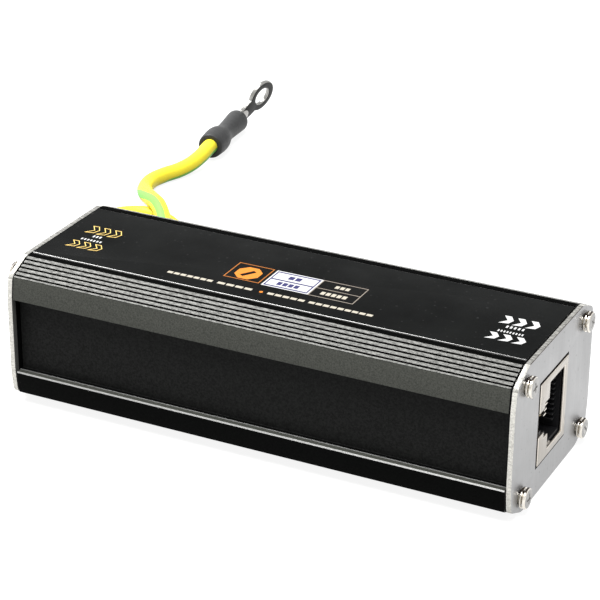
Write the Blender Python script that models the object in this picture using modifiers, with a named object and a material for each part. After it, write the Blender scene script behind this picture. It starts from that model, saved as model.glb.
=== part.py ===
"""Ethernet surge protector: a ribbed black extrusion with two screwed end plates, a shielded
network socket in each, the protection board inside, and a green and yellow earth lead.

Metres, +Z up. +X points along the body to the protected socket, +Y to the back, where the
lead lies. The origin is the middle of the body's underside.
"""

import math

import bmesh
import bpy
from mathutils import Matrix, Vector

# Clearance
GAP = 0.0003                    # between two pieces that seat on or in each other

# Body extrusion
HOUSING_LENGTH = 0.0986
HOUSING_WIDTH = 0.0386
HOUSING_HEIGHT = 0.0285
SHOULDER_RUN = 0.00515          # a shoulder's width, from the top flat out to the band
SHOULDER_DROP = 0.0023
BAND_HEIGHT = 0.0045            # plain band between a shoulder and the side channel
BAND_LEAN = 0.00055             # how far a band leans in at its shoulder
CHANNEL_DEPTH = 0.0022
WALL = 0.0018
RIB_GROOVES = 5
GROOVE_WIDTH = 0.00032
GROOVE_DEPTH = 0.00035
FIRST_GROOVE = 0.0009           # from the shoulder's upper edge, along its slope
GROOVE_PITCH = 0.00104
PLATE_SEAT_DEPTH = 0.0008       # shallow channel along the top for the name plate
PLATE_SEAT_MARGIN = 0.0014      # top flat left on each side of that channel
CORNER_BOSS_RADIUS = 0.0024

# Name plate
NAME_PLATE_THICKNESS = 0.0006

# End plates
END_PLATE_THICKNESS = 0.0010

# End screws and their lock washers
SCREW_INSET_Y = 0.00495         # screw centres in from the body's sides
SCREW_INSET_Z = 0.00345         # and from its top and underside
SCREW_RADIUS = 0.00125
SCREW_LENGTH = 0.0080
SCREW_HEAD_RADIUS = 0.00195
SCREW_HEAD_HEIGHT = 0.00065
SCREW_HEAD_DOME = 0.0002        # how much of the height is domed
SCREW_CROWN_RADIUS = 0.00156    # where the dome turns flatter
SCREW_CROWN_DROP = 0.00006
RECESS_WIDTH = 0.00045
RECESS_LENGTH = 0.0021
RECESS_DEPTH = 0.0004
WASHER_RADIUS = 0.00195
WASHER_THICKNESS = 0.00035
WASHER_SLIT = 0.0004

# Network sockets
SOCKET_WIDTH = 0.0160           # upright, because the socket is turned on its side
SOCKET_DEPTH_Y = 0.0135
SOCKET_LENGTH = 0.0210
SOCKET_PROUD = 0.0002           # how far its face stands out of the end plate
SOCKET_DROP = 0.00035           # its middle below the body's middle
SHIELD_THICKNESS = 0.0004
MOUTH_WIDTH = 0.0132            # mouth in the shield's face, upright
MOUTH_FRONT = -0.0023           # its edge on the latch side, from the socket's middle
MOUTH_REAR = 0.0053             # its edge on the board side
LATCH_STEP_WIDTH = 0.0070
LATCH_STEP_FRONT = -0.0043
LATCH_SLOT_WIDTH = 0.0048
CAVITY_WIDTH = 0.0120           # the insert's own cavity, for the plug
CAVITY_SLOT_FRONT = -0.0057
CAVITY_DEPTH = 0.0150

# Spring contacts in each socket
CONTACTS = 8
CONTACT_PITCH = 0.00102
CONTACT_RADIUS = 0.00022
CONTACT_BEND_RADIUS = 0.00053
CONTACT_SETBACK = 0.0036        # bend of each contact behind the socket's face
CONTACT_LENGTH = 0.0085
CONTACT_RISE = 0.0022           # free end off the cavity's wall

# Protection board and what it carries
BOARD_THICKNESS = 0.0016
BOARD_SETBACK = 0.0030          # board's end behind the housing's end
SLOT_RIB_CLEARANCE = 0.0005     # between the slot's ribs and the sockets
SLOT_RIB_WIDTH = 0.0012
TUBE_RADIUS = 0.0026
TUBE_NECK_RADIUS = 0.0023       # its ceramic, between the two end caps
TUBE_LENGTH = 0.0060
TUBE_CAP = 0.0010
TUBE_SPACING_Z = 0.0092
CORE_LENGTH = 0.0150
CORE_DEPTH = 0.0064
CORE_HEIGHT = 0.0110
DIODE_LENGTH = 0.0046
DIODE_DEPTH = 0.0022
DIODE_HEIGHT = 0.0070
DIODE_FROM_CORE = 0.0027        # between a diode array and the core's end
MOULDING_ROUND = 0.0004

# Earth lead
LEAD_RADIUS = 0.0018
EARTH_SPACE = 0.00715           # behind the board, for the lead's end and its grommet
GROMMET_NECK_RADIUS = 0.0027
GROMMET_FLANGE_RADIUS = 0.0038
GROMMET_CROWN_RADIUS = 0.0030   # of the flat on its outer face
GROMMET_CATCH_RADIUS = 0.0032   # its inner lip, behind the end plate
GROMMET_LIP = 0.0009
LUG_LENGTH = 0.0050
LUG_HEIGHT = 0.0050
LUG_SETBACK = 0.0120            # lug's near face behind the housing's end
LEAD_POINT_SPACING = 0.0045
LEAD_ROUTE = (                  # out of the grommet, down, one turn over itself, then to the terminal
    (-0.0575, 0.0120, 0.0141), (-0.0632, 0.0146, 0.0121), (-0.0677, 0.0204, 0.0085),
    (-0.0709, 0.0280, 0.0047), (-0.0738, 0.0364, 0.0025), (-0.0766, 0.0448, 0.00188),
    (-0.0786, 0.0526, 0.00185), (-0.0789, 0.0598, 0.00185), (-0.0768, 0.0655, 0.00185),
    (-0.0721, 0.0683, 0.00185), (-0.0666, 0.0673, 0.00185), (-0.0604, 0.0632, 0.00185),
    (-0.0534, 0.0588, 0.00185), (-0.0462, 0.0554, 0.00185), (-0.0396, 0.0520, 0.00185),
    (-0.0350, 0.0478, 0.00185), (-0.0338, 0.0418, 0.00185), (-0.0369, 0.0364, 0.00185),
    (-0.0430, 0.0341, 0.00185), (-0.0491, 0.0363, 0.0019), (-0.0536, 0.0422, 0.0021),
    (-0.0567, 0.0489, 0.0028), (-0.0595, 0.0550, 0.0041), (-0.0630, 0.0605, 0.0053),
    (-0.0673, 0.0659, 0.0058), (-0.0720, 0.0709, 0.0047), (-0.0762, 0.0758, 0.0033),
    (-0.0794, 0.0809, 0.0022), (-0.0809, 0.0862, 0.00185), (-0.0801, 0.0908, 0.00185),
    (-0.0784, 0.0949, 0.00195), (-0.0772, 0.0988, 0.0024), (-0.0767, 0.1026, 0.0031),
    (-0.0769, 0.1062, 0.0036), (-0.0774, 0.1096, 0.0036), (-0.0779, 0.1130, 0.0035),
)

# Sleeve and ring terminal on the lead's end
TERMINAL_HEADING = math.radians(98.5)   # from +X towards +Y
TERMINAL_DIP = math.radians(1.0)
TERMINAL_TWIST = math.radians(38.0)     # turns the bend's side about the sleeve
SLEEVE_LENGTH = 0.0201
SLEEVE_OVER_WIRE = 0.0048               # how much of the wire it covers
SLEEVE_WIDE_RADIUS = 0.0034
SLEEVE_NARROW_RADIUS = 0.0027
SLEEVE_WAIST = 0.0085                   # where it steps down, from its wire end
SLEEVE_STEP = 0.0005                    # half the length of the step
SLEEVE_RUN_OUT = 0.0015                 # from the waist to the narrow end's full length
BARREL_RADIUS = 0.0018
BARREL_OUT = 0.0018                     # how far the barrel stands out of the sleeve
TONGUE_THICKNESS = 0.0010
TONGUE_WIDTH = 0.0046
TONGUE_SHOULDER = 0.0029                # along the tongue to where it is full width
TONGUE_ROOT = 0.0006                    # how far the tongue starts inside the barrel
TONGUE_ROOT_WIDTH = 0.0028
TONGUE_LENGTH = 0.0080                  # from the bend to the ring's centre
TONGUE_BEND = math.radians(48.0)        # an angled terminal
RING_TURN = math.radians(63.0)          # turns the ring about the tongue
RING_RADIUS = 0.0042
RING_HOLE_RADIUS = 0.0023

ROUND_STEPS = 24
HALF_LENGTH = HOUSING_LENGTH / 2
MID_HEIGHT = HOUSING_HEIGHT / 2
CHANNEL_FLOOR_Y = HOUSING_WIDTH / 2 - CHANNEL_DEPTH
CAVITY_WALL_Y = CHANNEL_FLOOR_Y - WALL
CAVITY_TOP_Z = HOUSING_HEIGHT - PLATE_SEAT_DEPTH - WALL
CAVITY_BOTTOM_Z = HOUSING_HEIGHT - CAVITY_TOP_Z
TOP_FLAT_HALF = HOUSING_WIDTH / 2 - BAND_LEAN - SHOULDER_RUN
NAME_PLATE_HALF = TOP_FLAT_HALF - PLATE_SEAT_MARGIN - GAP
SCREW_Y = HOUSING_WIDTH / 2 - SCREW_INSET_Y
SCREW_Z = MID_HEIGHT - SCREW_INSET_Z
PLATE_OUTER_X = HALF_LENGTH + GAP + END_PLATE_THICKNESS
SOCKET_FACE_X = PLATE_OUTER_X + SOCKET_PROUD
SOCKET_BACK_X = SOCKET_FACE_X - SOCKET_LENGTH
BOARD_BACK_Y = CAVITY_WALL_Y - EARTH_SPACE
BOARD_FRONT_Y = BOARD_BACK_Y - BOARD_THICKNESS
SOCKET_CENTRE_Y = BOARD_FRONT_Y - GAP - SOCKET_DEPTH_Y / 2
SOCKET_CENTRE_Z = MID_HEIGHT - SOCKET_DROP
SLOT_RIB_HEIGHT = SOCKET_CENTRE_Z - SOCKET_WIDTH / 2 - CAVITY_BOTTOM_Z - SLOT_RIB_CLEARANCE
LEAD_EXIT_Y = BOARD_BACK_Y + EARTH_SPACE / 2
SCREW_HOLE_RADIUS = SCREW_RADIUS + GAP
END_ON = Matrix(((0, 0, 1, 0), (1, 0, 0, 0), (0, 1, 0, 0), (0, 0, 0, 1)))   # drawn in Y and Z, runs along X

PARTS = "ethernet_surge_protector"
CUTTERS = "cutters"


def start_scene():
    """An empty scene with one collection for the parts and one for the cutters."""
    for old in list(bpy.data.objects):
        bpy.data.objects.remove(old, do_unlink=True)
    for name in (PARTS, CUTTERS):
        bpy.context.scene.collection.children.link(bpy.data.collections.new(name))


def material(name, colour, roughness, metallic=0.0):
    """A Principled material with one colour."""
    made = bpy.data.materials.get(name)
    if made is None:
        made = bpy.data.materials.new(name)
        made.use_nodes = True
        shader = made.node_tree.nodes["Principled BSDF"]
        shader.inputs["Base Color"].default_value = (*colour, 1.0)
        shader.inputs["Roughness"].default_value = roughness
        shader.inputs["Metallic"].default_value = metallic
    return made


def anodised():
    return material("black_anodised", (0.02, 0.02, 0.02), 0.55, 0.6)


def plate_steel():
    return material("satin_plate", (0.62, 0.62, 0.63), 0.35, 0.9)


def nickel():
    return material("bright_nickel", (0.8, 0.78, 0.74), 0.2, 1.0)


def tin():
    return material("tinned_copper", (0.6, 0.6, 0.6), 0.25, 1.0)


def gold():
    return material("gold_flash", (0.85, 0.65, 0.3), 0.25, 1.0)


def black_plastic():
    return material("black_plastic", (0.015, 0.015, 0.016), 0.5)


def keep(obj, finish, collection=PARTS):
    """Puts the object in one collection only and gives it its material."""
    for group in list(obj.users_collection):
        group.objects.unlink(obj)
    bpy.data.collections[collection].objects.link(obj)
    if finish is not None:
        obj.data.materials.clear()
        obj.data.materials.append(finish)
    return obj


def outline_solid(name, outlines, thickness, place, finish):
    """A flat piece: the first outline is its edge and the others are holes. It is centred on its plane."""
    curve = bpy.data.curves.new(name, "CURVE")
    curve.dimensions = "2D"
    curve.fill_mode = "BOTH"
    curve.extrude = thickness / 2
    for outline in outlines:
        spline = curve.splines.new("POLY")
        spline.points.add(len(outline) - 1)
        for point, (u, v) in zip(spline.points, outline):
            point.co = (u, v, 0.0, 1.0)
        spline.use_cyclic_u = True
    obj = bpy.data.objects.new(name, curve)
    obj.matrix_world = place
    return keep(obj, finish)


def as_mesh(obj):
    """Replaces a curve object by a closed mesh object of the same name and place."""
    bpy.context.view_layer.update()
    evaluated = obj.evaluated_get(bpy.context.evaluated_depsgraph_get())
    mesh = bpy.data.meshes.new_from_object(evaluated)
    welded = bmesh.new()
    welded.from_mesh(mesh)
    bmesh.ops.remove_doubles(welded, verts=welded.verts, dist=GAP / 1000)
    welded.to_mesh(mesh)
    welded.free()
    name, place, groups = obj.name, obj.matrix_world.copy(), list(obj.users_collection)
    bpy.data.objects.remove(obj, do_unlink=True)
    solid = bpy.data.objects.new(name, mesh)
    solid.matrix_world = place
    for group in groups:
        group.objects.link(solid)
    return solid


def finished_mesh(obj):
    """The object's mesh with its modifiers applied. The object and its cutters go."""
    bpy.context.view_layer.update()
    evaluated = obj.evaluated_get(bpy.context.evaluated_depsgraph_get())
    mesh = bpy.data.meshes.new_from_object(evaluated)
    used = [step.object for step in obj.modifiers if step.type == "BOOLEAN"]
    bpy.data.objects.remove(obj, do_unlink=True)
    for cutter in used:
        bpy.data.objects.remove(cutter, do_unlink=True)
    return mesh


def box(name, low, high, finish):
    """An upright box between two corners, with its scale applied."""
    low, high = Vector(low), Vector(high)
    bpy.ops.mesh.primitive_cube_add(size=1.0)
    obj = bpy.context.object
    obj.name = name
    obj.data.transform(Matrix.Translation((low + high) / 2) @ Matrix.Diagonal((*(high - low), 1.0)))
    return keep(obj, finish)


def turned(name, profile, place, finish, steps=ROUND_STEPS):
    """A turned piece: the profile's radius and height pairs run down its outer side, top to bottom."""
    mesh = bpy.data.meshes.new(name)
    points = [(radius, 0.0, height) for radius, height in profile]
    mesh.from_pydata(points, [(i, i + 1) for i in range(len(points) - 1)], [])
    obj = bpy.data.objects.new(name, mesh)
    obj.matrix_world = place
    turn = obj.modifiers.new("turn", "SCREW")
    turn.steps = steps
    turn.render_steps = steps
    turn.use_merge_vertices = True
    turn.merge_threshold = GAP / 1000
    return keep(obj, finish)


def as_cutter(obj):
    """Hides a solid that only cuts others."""
    keep(obj, None, CUTTERS)
    obj.hide_render = True
    obj.display_type = "WIRE"
    return obj


def combine(obj, other, operation):
    """Adds a Boolean step with another solid, which is kept as its cutter."""
    step = obj.modifiers.new(other.name, "BOOLEAN")
    step.operation = operation
    step.solver = "EXACT"
    step.object = as_cutter(other)


def shade_round(mesh, angle=math.radians(35)):
    mesh.shade_smooth()
    mesh.set_sharp_from_angle(angle=angle)


def circle(radius, centre=(0.0, 0.0), steps=ROUND_STEPS):
    turns = [2 * math.pi * i / steps for i in range(steps)]
    return [(centre[0] + radius * math.cos(a), centre[1] + radius * math.sin(a)) for a in turns]


def rectangle(low, high):
    return [low, (high[0], low[1]), high, (low[0], high[1])]


def shoulder_points():
    """The upper shoulder on the +Y side, from the top flat out to the band."""
    top = (TOP_FLAT_HALF, HOUSING_HEIGHT)
    foot = (HOUSING_WIDTH / 2 - BAND_LEAN, HOUSING_HEIGHT - SHOULDER_DROP)
    return top, foot


def grooved_shoulder():
    """The shoulder with its square grooves, as points from the top flat outwards."""
    top, foot = (Vector(point) for point in shoulder_points())
    along = (foot - top).normalized()
    inward = Vector((along.y, -along.x))
    points = [top]
    for i in range(RIB_GROOVES):
        near = top + along * (FIRST_GROOVE + i * GROOVE_PITCH - GROOVE_WIDTH / 2)
        far = near + along * GROOVE_WIDTH
        points += [near, near + inward * GROOVE_DEPTH, far + inward * GROOVE_DEPTH, far]
    points.append(foot)
    return [tuple(point) for point in points]


def mirrored(points, across_y=False, across_z=False):
    """The same points across the middle plane in Y, the mid height, or both, in reverse for one mirror."""
    moved = [(-y if across_y else y, HOUSING_HEIGHT - z if across_z else z) for y, z in points]
    return moved[::-1] if across_y != across_z else moved


def housing_edge():
    """The extrusion's outer edge, clockwise from the name plate's seat as seen from +X."""
    seat = NAME_PLATE_HALF + GAP
    seat_z = HOUSING_HEIGHT - PLATE_SEAT_DEPTH
    side = grooved_shoulder()
    band_foot = HOUSING_HEIGHT - SHOULDER_DROP - BAND_HEIGHT
    side += [(HOUSING_WIDTH / 2, band_foot), (CHANNEL_FLOOR_Y, band_foot)]
    upper_back = [(seat, seat_z), (seat, HOUSING_HEIGHT)] + side
    upper_front = mirrored(upper_back, across_y=True)
    lower_back = mirrored(side, across_z=True)
    lower_front = mirrored(side, across_y=True, across_z=True)
    return upper_back + lower_back + lower_front + upper_front


def corner_boss(sign_y, sign_z):
    """The cavity's edge around one screw boss, from its side wall to its top or bottom wall."""
    steps = 6
    points = [(CAVITY_WALL_Y, SCREW_Z - CORNER_BOSS_RADIUS)]
    for i in range(steps + 1):
        angle = math.radians(270 - 90 * i / steps)
        points.append((SCREW_Y + CORNER_BOSS_RADIUS * math.cos(angle),
                       SCREW_Z + CORNER_BOSS_RADIUS * math.sin(angle)))
    points.append((SCREW_Y - CORNER_BOSS_RADIUS, CAVITY_TOP_Z - MID_HEIGHT))
    return [(sign_y * u, MID_HEIGHT + sign_z * v) for u, v in points]


def board_slot(sign_z):
    """The two small ribs that hold one edge of the board, from the back towards the front."""
    wall = CAVITY_TOP_Z - MID_HEIGHT
    rib = wall - SLOT_RIB_HEIGHT
    points = []
    for edge, away in ((BOARD_BACK_Y + GAP, SLOT_RIB_WIDTH), (BOARD_FRONT_Y - GAP, -SLOT_RIB_WIDTH)):
        pair = [(edge + away, wall), (edge + away, rib), (edge, rib), (edge, wall)]
        points += pair if away > 0 else pair[::-1]
    return [(u, MID_HEIGHT + sign_z * v) for u, v in points]


def cavity_edge():
    """The extrusion's inner edge."""
    upper = corner_boss(1, 1) + board_slot(1) + corner_boss(-1, 1)[::-1]
    lower = corner_boss(-1, -1) + board_slot(-1)[::-1] + corner_boss(1, -1)[::-1]
    return upper + lower


def screw_centres():
    return [(sign_y * SCREW_Y, MID_HEIGHT + sign_z * SCREW_Z) for sign_z in (1, -1) for sign_y in (1, -1)]


def end_outline():
    """The body's outline with plain shoulders and no channels."""
    top, foot = shoulder_points()
    upper_back = [top, foot, (HOUSING_WIDTH / 2, HOUSING_HEIGHT - SHOULDER_DROP - BAND_HEIGHT)]
    upper_front = mirrored(upper_back, across_y=True)
    lower_back = mirrored(upper_back, across_z=True)
    lower_front = mirrored(upper_back, across_y=True, across_z=True)
    return upper_back + lower_back + lower_front + upper_front


def build_housing():
    outlines = [housing_edge(), cavity_edge()]
    outlines += [circle(SCREW_HOLE_RADIUS, centre) for centre in screw_centres()]
    outline_solid("housing", outlines, HOUSING_LENGTH, END_ON, anodised())


def build_name_plate():
    low = HOUSING_HEIGHT - PLATE_SEAT_DEPTH + GAP
    edge = rectangle((-NAME_PLATE_HALF, low), (NAME_PLATE_HALF, low + NAME_PLATE_THICKNESS))
    finish = material("satin_black_print", (0.03, 0.03, 0.032), 0.4)
    outline_solid("name_plate", [edge], HOUSING_LENGTH, END_ON, finish)


def build_end_plates():
    """One plate over each end of the extrusion, cut out for the socket and drilled for the screws."""
    half_y, half_z = SOCKET_DEPTH_Y / 2 + GAP, SOCKET_WIDTH / 2 + GAP
    socket = rectangle((SOCKET_CENTRE_Y - half_y, SOCKET_CENTRE_Z - half_z),
                       (SOCKET_CENTRE_Y + half_y, SOCKET_CENTRE_Z + half_z))
    common = [end_outline(), socket] + [circle(SCREW_HOLE_RADIUS, centre) for centre in screw_centres()]
    lead_hole = circle(GROMMET_NECK_RADIUS + GAP, (LEAD_EXIT_Y, MID_HEIGHT))
    middle = PLATE_OUTER_X - END_PLATE_THICKNESS / 2
    for name, side, outlines in (("end_plate_in", -1, common + [lead_hole]), ("end_plate_out", 1, common)):
        place = Matrix.Translation((side * middle, 0, 0)) @ END_ON
        outline_solid(name, outlines, END_PLATE_THICKNESS, place, plate_steel())


def screw_mesh():
    """A pan-head screw with a cross recess. Its seat is at height 0 and its head points up."""
    rim = SCREW_HEAD_HEIGHT - SCREW_HEAD_DOME
    profile = [(0.0, SCREW_HEAD_HEIGHT), (SCREW_CROWN_RADIUS, SCREW_HEAD_HEIGHT - SCREW_CROWN_DROP),
               (SCREW_HEAD_RADIUS, rim), (SCREW_HEAD_RADIUS, 0.0), (SCREW_RADIUS, 0.0),
               (SCREW_RADIUS, -SCREW_LENGTH + SCREW_RADIUS / 2), (SCREW_RADIUS / 2, -SCREW_LENGTH),
               (0.0, -SCREW_LENGTH)]
    screw = turned("screw_form", profile, Matrix.Identity(4), nickel(), steps=20)
    half_width, half_length = RECESS_WIDTH / 2, RECESS_LENGTH / 2
    floor, above = SCREW_HEAD_HEIGHT - RECESS_DEPTH, SCREW_HEAD_HEIGHT + RECESS_DEPTH
    slot = box("recess_slot", (-half_length, -half_width, floor), (half_length, half_width, above), None)
    combine(screw, slot, "DIFFERENCE")
    cross = box("recess_cross", (-half_width, -half_length, floor), (half_width, half_length, above), None)
    combine(screw, cross, "DIFFERENCE")
    mesh = finished_mesh(screw)
    mesh.name = "end_screw"
    shade_round(mesh)
    return mesh


def lock_washer_mesh():
    """A split spring washer, lying flat on height 0."""
    inner = SCREW_HOLE_RADIUS
    half_slit = math.asin(WASHER_SLIT / 2 / inner)
    steps = 18
    angles = [half_slit + (2 * math.pi - 2 * half_slit) * i / steps for i in range(steps + 1)]
    edge = [(WASHER_RADIUS * math.cos(a), WASHER_RADIUS * math.sin(a)) for a in angles]
    edge += [(inner * math.cos(a), inner * math.sin(a)) for a in reversed(angles)]
    place = Matrix.Translation((0, 0, WASHER_THICKNESS / 2))
    washer = as_mesh(outline_solid("washer_form", [edge], WASHER_THICKNESS, place, nickel()))
    mesh = washer.data
    mesh.transform(place)
    mesh.name = "lock_washer"
    bpy.data.objects.remove(washer, do_unlink=True)
    return mesh


def build_fasteners():
    """Four screws with lock washers through each end plate into the extrusion's corner bosses."""
    screw, washer = screw_mesh(), lock_washer_mesh()
    washer_seat = PLATE_OUTER_X + GAP
    head_seat = washer_seat + WASHER_THICKNESS + GAP
    for end, side in (("in", -1), ("out", 1)):
        facing = Matrix.Rotation(side * math.pi / 2, 4, "Y")
        for i, (y, z) in enumerate(screw_centres(), 1):
            for name, mesh, seat in (("end_screw", screw, head_seat), ("lock_washer", washer, washer_seat)):
                obj = bpy.data.objects.new(f"{name}_{end}_{i}", mesh)
                obj.matrix_world = Matrix.Translation((side * seat, y, z)) @ facing
                keep(obj, None)


def mouth_outline():
    """The mouth in the shield's face: a rectangle with a stepped slot on the latch side."""
    half, step, slot = MOUTH_WIDTH / 2, LATCH_STEP_WIDTH / 2, LATCH_SLOT_WIDTH / 2
    edge = -SOCKET_DEPTH_Y / 2 - GAP
    upper = [(MOUTH_REAR, half), (MOUTH_FRONT, half), (MOUTH_FRONT, step), (LATCH_STEP_FRONT, step),
             (LATCH_STEP_FRONT, slot), (edge, slot)]
    lower = [(y, -z) for y, z in reversed(upper)]
    return [(SOCKET_CENTRE_Y + y, SOCKET_CENTRE_Z + z) for y, z in upper + lower]


def cavity_outline():
    """The plug's own space in the insert: a rectangle with a slot for the latch."""
    half, step, slot = CAVITY_WIDTH / 2, LATCH_STEP_WIDTH / 2 - GAP, LATCH_SLOT_WIDTH / 2 - GAP
    upper = [(MOUTH_REAR - GAP, half), (MOUTH_FRONT, half), (MOUTH_FRONT, step), (LATCH_STEP_FRONT, step),
             (LATCH_STEP_FRONT, slot), (CAVITY_SLOT_FRONT, slot)]
    lower = [(y, -z) for y, z in reversed(upper)]
    return [(SOCKET_CENTRE_Y + y, SOCKET_CENTRE_Z + z) for y, z in upper + lower]


def prism(name, outline, low_x, high_x):
    """A cutter with the outline in Y and Z, between two places along X."""
    place = Matrix.Translation(((low_x + high_x) / 2, 0, 0)) @ END_ON
    return as_mesh(outline_solid(name, [outline], high_x - low_x, place, None))


def socket_pieces():
    """The shield and the insert of the socket at +X, as meshes in place."""
    half_y, half_z = SOCKET_DEPTH_Y / 2, SOCKET_WIDTH / 2
    low = Vector((SOCKET_BACK_X, SOCKET_CENTRE_Y - half_y, SOCKET_CENTRE_Z - half_z))
    high = Vector((SOCKET_FACE_X, SOCKET_CENTRE_Y + half_y, SOCKET_CENTRE_Z + half_z))
    sheet, past = SHIELD_THICKNESS, SHIELD_THICKNESS * 3
    shield = box("shield_form", low, high, nickel())
    room = box("shield_room", low + Vector((-past, sheet, sheet)), high - Vector((sheet, sheet, sheet)), None)
    combine(shield, room, "DIFFERENCE")
    mouth = prism("shield_mouth", mouth_outline(), SOCKET_FACE_X - past, SOCKET_FACE_X + past)
    combine(shield, mouth, "DIFFERENCE")
    inset = sheet + GAP
    insert = box("insert_form", low + Vector((0, inset, inset)), high - Vector((inset, inset, inset)),
                 black_plastic())
    cavity = prism("insert_cavity", cavity_outline(), SOCKET_FACE_X - CAVITY_DEPTH, SOCKET_FACE_X + past)
    combine(insert, cavity, "DIFFERENCE")
    return finished_mesh(shield), finished_mesh(insert)


def contact_path():
    """One spring contact of the +X socket, as X and Y pairs: along the wall, round its bend, back and up."""
    wall_y = SOCKET_CENTRE_Y + MOUTH_REAR - GAP - GAP - CONTACT_RADIUS
    bend_x = SOCKET_FACE_X - CONTACT_SETBACK
    rest_x = bend_x - CONTACT_LENGTH
    bend = CONTACT_BEND_RADIUS
    points = [(rest_x, wall_y)]
    steps = 4
    for i in range(steps + 1):
        angle = math.pi / 2 - math.pi * i / steps
        points.append((bend_x - bend + bend * math.cos(angle), wall_y - bend + bend * math.sin(angle)))
    points.append((rest_x, wall_y - CONTACT_RISE))
    return points


def contact_mesh():
    """The contact's wire, drawn at height 0."""
    curve = bpy.data.curves.new("contact_form", "CURVE")
    curve.dimensions = "3D"
    curve.bevel_depth = CONTACT_RADIUS
    curve.bevel_resolution = 1
    curve.use_fill_caps = True
    path = contact_path()
    spline = curve.splines.new("POLY")
    spline.points.add(len(path) - 1)
    for point, (x, y) in zip(spline.points, path):
        point.co = (x, y, 0.0, 1.0)
    wire = as_mesh(keep(bpy.data.objects.new("contact_form", curve), gold()))
    mesh = wire.data
    mesh.name = "contact"
    bpy.data.objects.remove(wire, do_unlink=True)
    shade_round(mesh)
    return mesh


def build_sockets():
    """A shielded socket with eight contacts at each end. The one at -X is turned over about Y."""
    shield, insert = socket_pieces()
    contact = contact_mesh()
    turn_over = Matrix.Translation((0, 0, SOCKET_CENTRE_Z)) @ Matrix.Rotation(math.pi, 4, "Y")
    turn_over = turn_over @ Matrix.Translation((0, 0, -SOCKET_CENTRE_Z))
    for end, place in (("out", Matrix.Identity(4)), ("in", turn_over)):
        for name, mesh in (("socket_shield", shield), ("socket_insert", insert)):
            obj = bpy.data.objects.new(f"{name}_{end}", mesh)
            obj.matrix_world = place
            keep(obj, None)
        for i in range(CONTACTS):
            height = SOCKET_CENTRE_Z + (i - (CONTACTS - 1) / 2) * CONTACT_PITCH
            obj = bpy.data.objects.new(f"contact_{end}_{i + 1}", contact)
            obj.matrix_world = place @ Matrix.Translation((0, 0, height))
            keep(obj, None)


def build_board():
    """The protection board in its slots, with gas tubes, a signal core and diode arrays on its front."""
    end_x = HALF_LENGTH - BOARD_SETBACK
    green = material("board_green", (0.02, 0.16, 0.07), 0.45)
    box("circuit_board", (-end_x, BOARD_FRONT_Y, CAVITY_BOTTOM_Z + GAP),
        (end_x, BOARD_BACK_Y, CAVITY_TOP_Z - GAP), green)
    ceramic = material("tube_ceramic", (0.75, 0.78, 0.8), 0.4)
    half = TUBE_LENGTH / 2
    cap = half - TUBE_CAP
    upper = [(0.0, half), (TUBE_RADIUS, half), (TUBE_RADIUS, cap), (TUBE_NECK_RADIUS, cap)]
    profile = upper + [(radius, -height) for radius, height in reversed(upper)]
    tube_y = BOARD_FRONT_Y - GAP - TUBE_RADIUS
    diode_x = CORE_LENGTH / 2 + DIODE_FROM_CORE + DIODE_LENGTH / 2
    tube_x = (diode_x + DIODE_LENGTH / 2 + SOCKET_BACK_X) / 2
    corners = [(x, z) for x in (-tube_x, tube_x) for z in (TUBE_SPACING_Z / 2, -TUBE_SPACING_Z / 2)]
    for i, (x, z) in enumerate(corners, 1):
        turned(f"gas_tube_{i}", profile, Matrix.Translation((x, tube_y, MID_HEIGHT + z)), ceramic, steps=16)
    seat_y = BOARD_FRONT_Y - GAP
    moulding = black_plastic()
    pieces = (("signal_core", 0.0, CORE_LENGTH, CORE_DEPTH, CORE_HEIGHT),
              ("diode_array_1", -diode_x, DIODE_LENGTH, DIODE_DEPTH, DIODE_HEIGHT),
              ("diode_array_2", diode_x, DIODE_LENGTH, DIODE_DEPTH, DIODE_HEIGHT))
    for name, x, length, depth, height in pieces:
        obj = box(name, (x - length / 2, seat_y - depth, MID_HEIGHT - height / 2),
                  (x + length / 2, seat_y, MID_HEIGHT + height / 2), moulding)
        rounding = obj.modifiers.new("rounding", "BEVEL")
        rounding.width = MOULDING_ROUND
        rounding.segments = 2


def build_earth_parts():
    """The earth lug behind the board, the insulated tail to it and the grommet in the end plate."""
    lug_x = LUG_SETBACK - HALF_LENGTH
    box("earth_lug", (lug_x, BOARD_BACK_Y + GAP, MID_HEIGHT - LUG_HEIGHT / 2),
        (lug_x + LUG_LENGTH, LEAD_EXIT_Y + LEAD_RADIUS, MID_HEIGHT + LUG_HEIGHT / 2), tin())
    plate_inner = PLATE_OUTER_X - END_PLATE_THICKNESS
    inner_face = plate_inner - GAP - GROMMET_LIP
    seat = PLATE_OUTER_X + GAP
    catch = plate_inner - GAP
    outer_face = seat + GROMMET_LIP
    profile = [(0.0, outer_face), (GROMMET_CROWN_RADIUS, outer_face), (GROMMET_FLANGE_RADIUS, seat),
               (GROMMET_NECK_RADIUS, seat), (GROMMET_NECK_RADIUS, catch), (GROMMET_CATCH_RADIUS, catch),
               (GROMMET_CATCH_RADIUS, inner_face), (0.0, inner_face)]
    facing = Matrix.Translation((0, LEAD_EXIT_Y, MID_HEIGHT)) @ Matrix.Rotation(-math.pi / 2, 4, "Y")
    turned("grommet", profile, facing, material("black_rubber", (0.02, 0.02, 0.02), 0.7))
    tail = [Vector((x, LEAD_EXIT_Y, MID_HEIGHT)) for x in (GAP - inner_face, lug_x - GAP)]
    wire("earth_tail", tail)


def wire(name, points):
    """A length of the earth wire through the points, with flat ends."""
    curve = bpy.data.curves.new(name, "CURVE")
    curve.dimensions = "3D"
    curve.bevel_depth = LEAD_RADIUS
    curve.bevel_resolution = 2
    curve.use_fill_caps = True
    spline = curve.splines.new("POLY")
    spline.points.add(len(points) - 1)
    for point, place in zip(spline.points, points):
        point.co = (*place, 1.0)
    finish = material("earth_insulation", (0.95, 0.8, 0.05), 0.4)
    return keep(bpy.data.objects.new(name, curve), finish)


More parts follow.
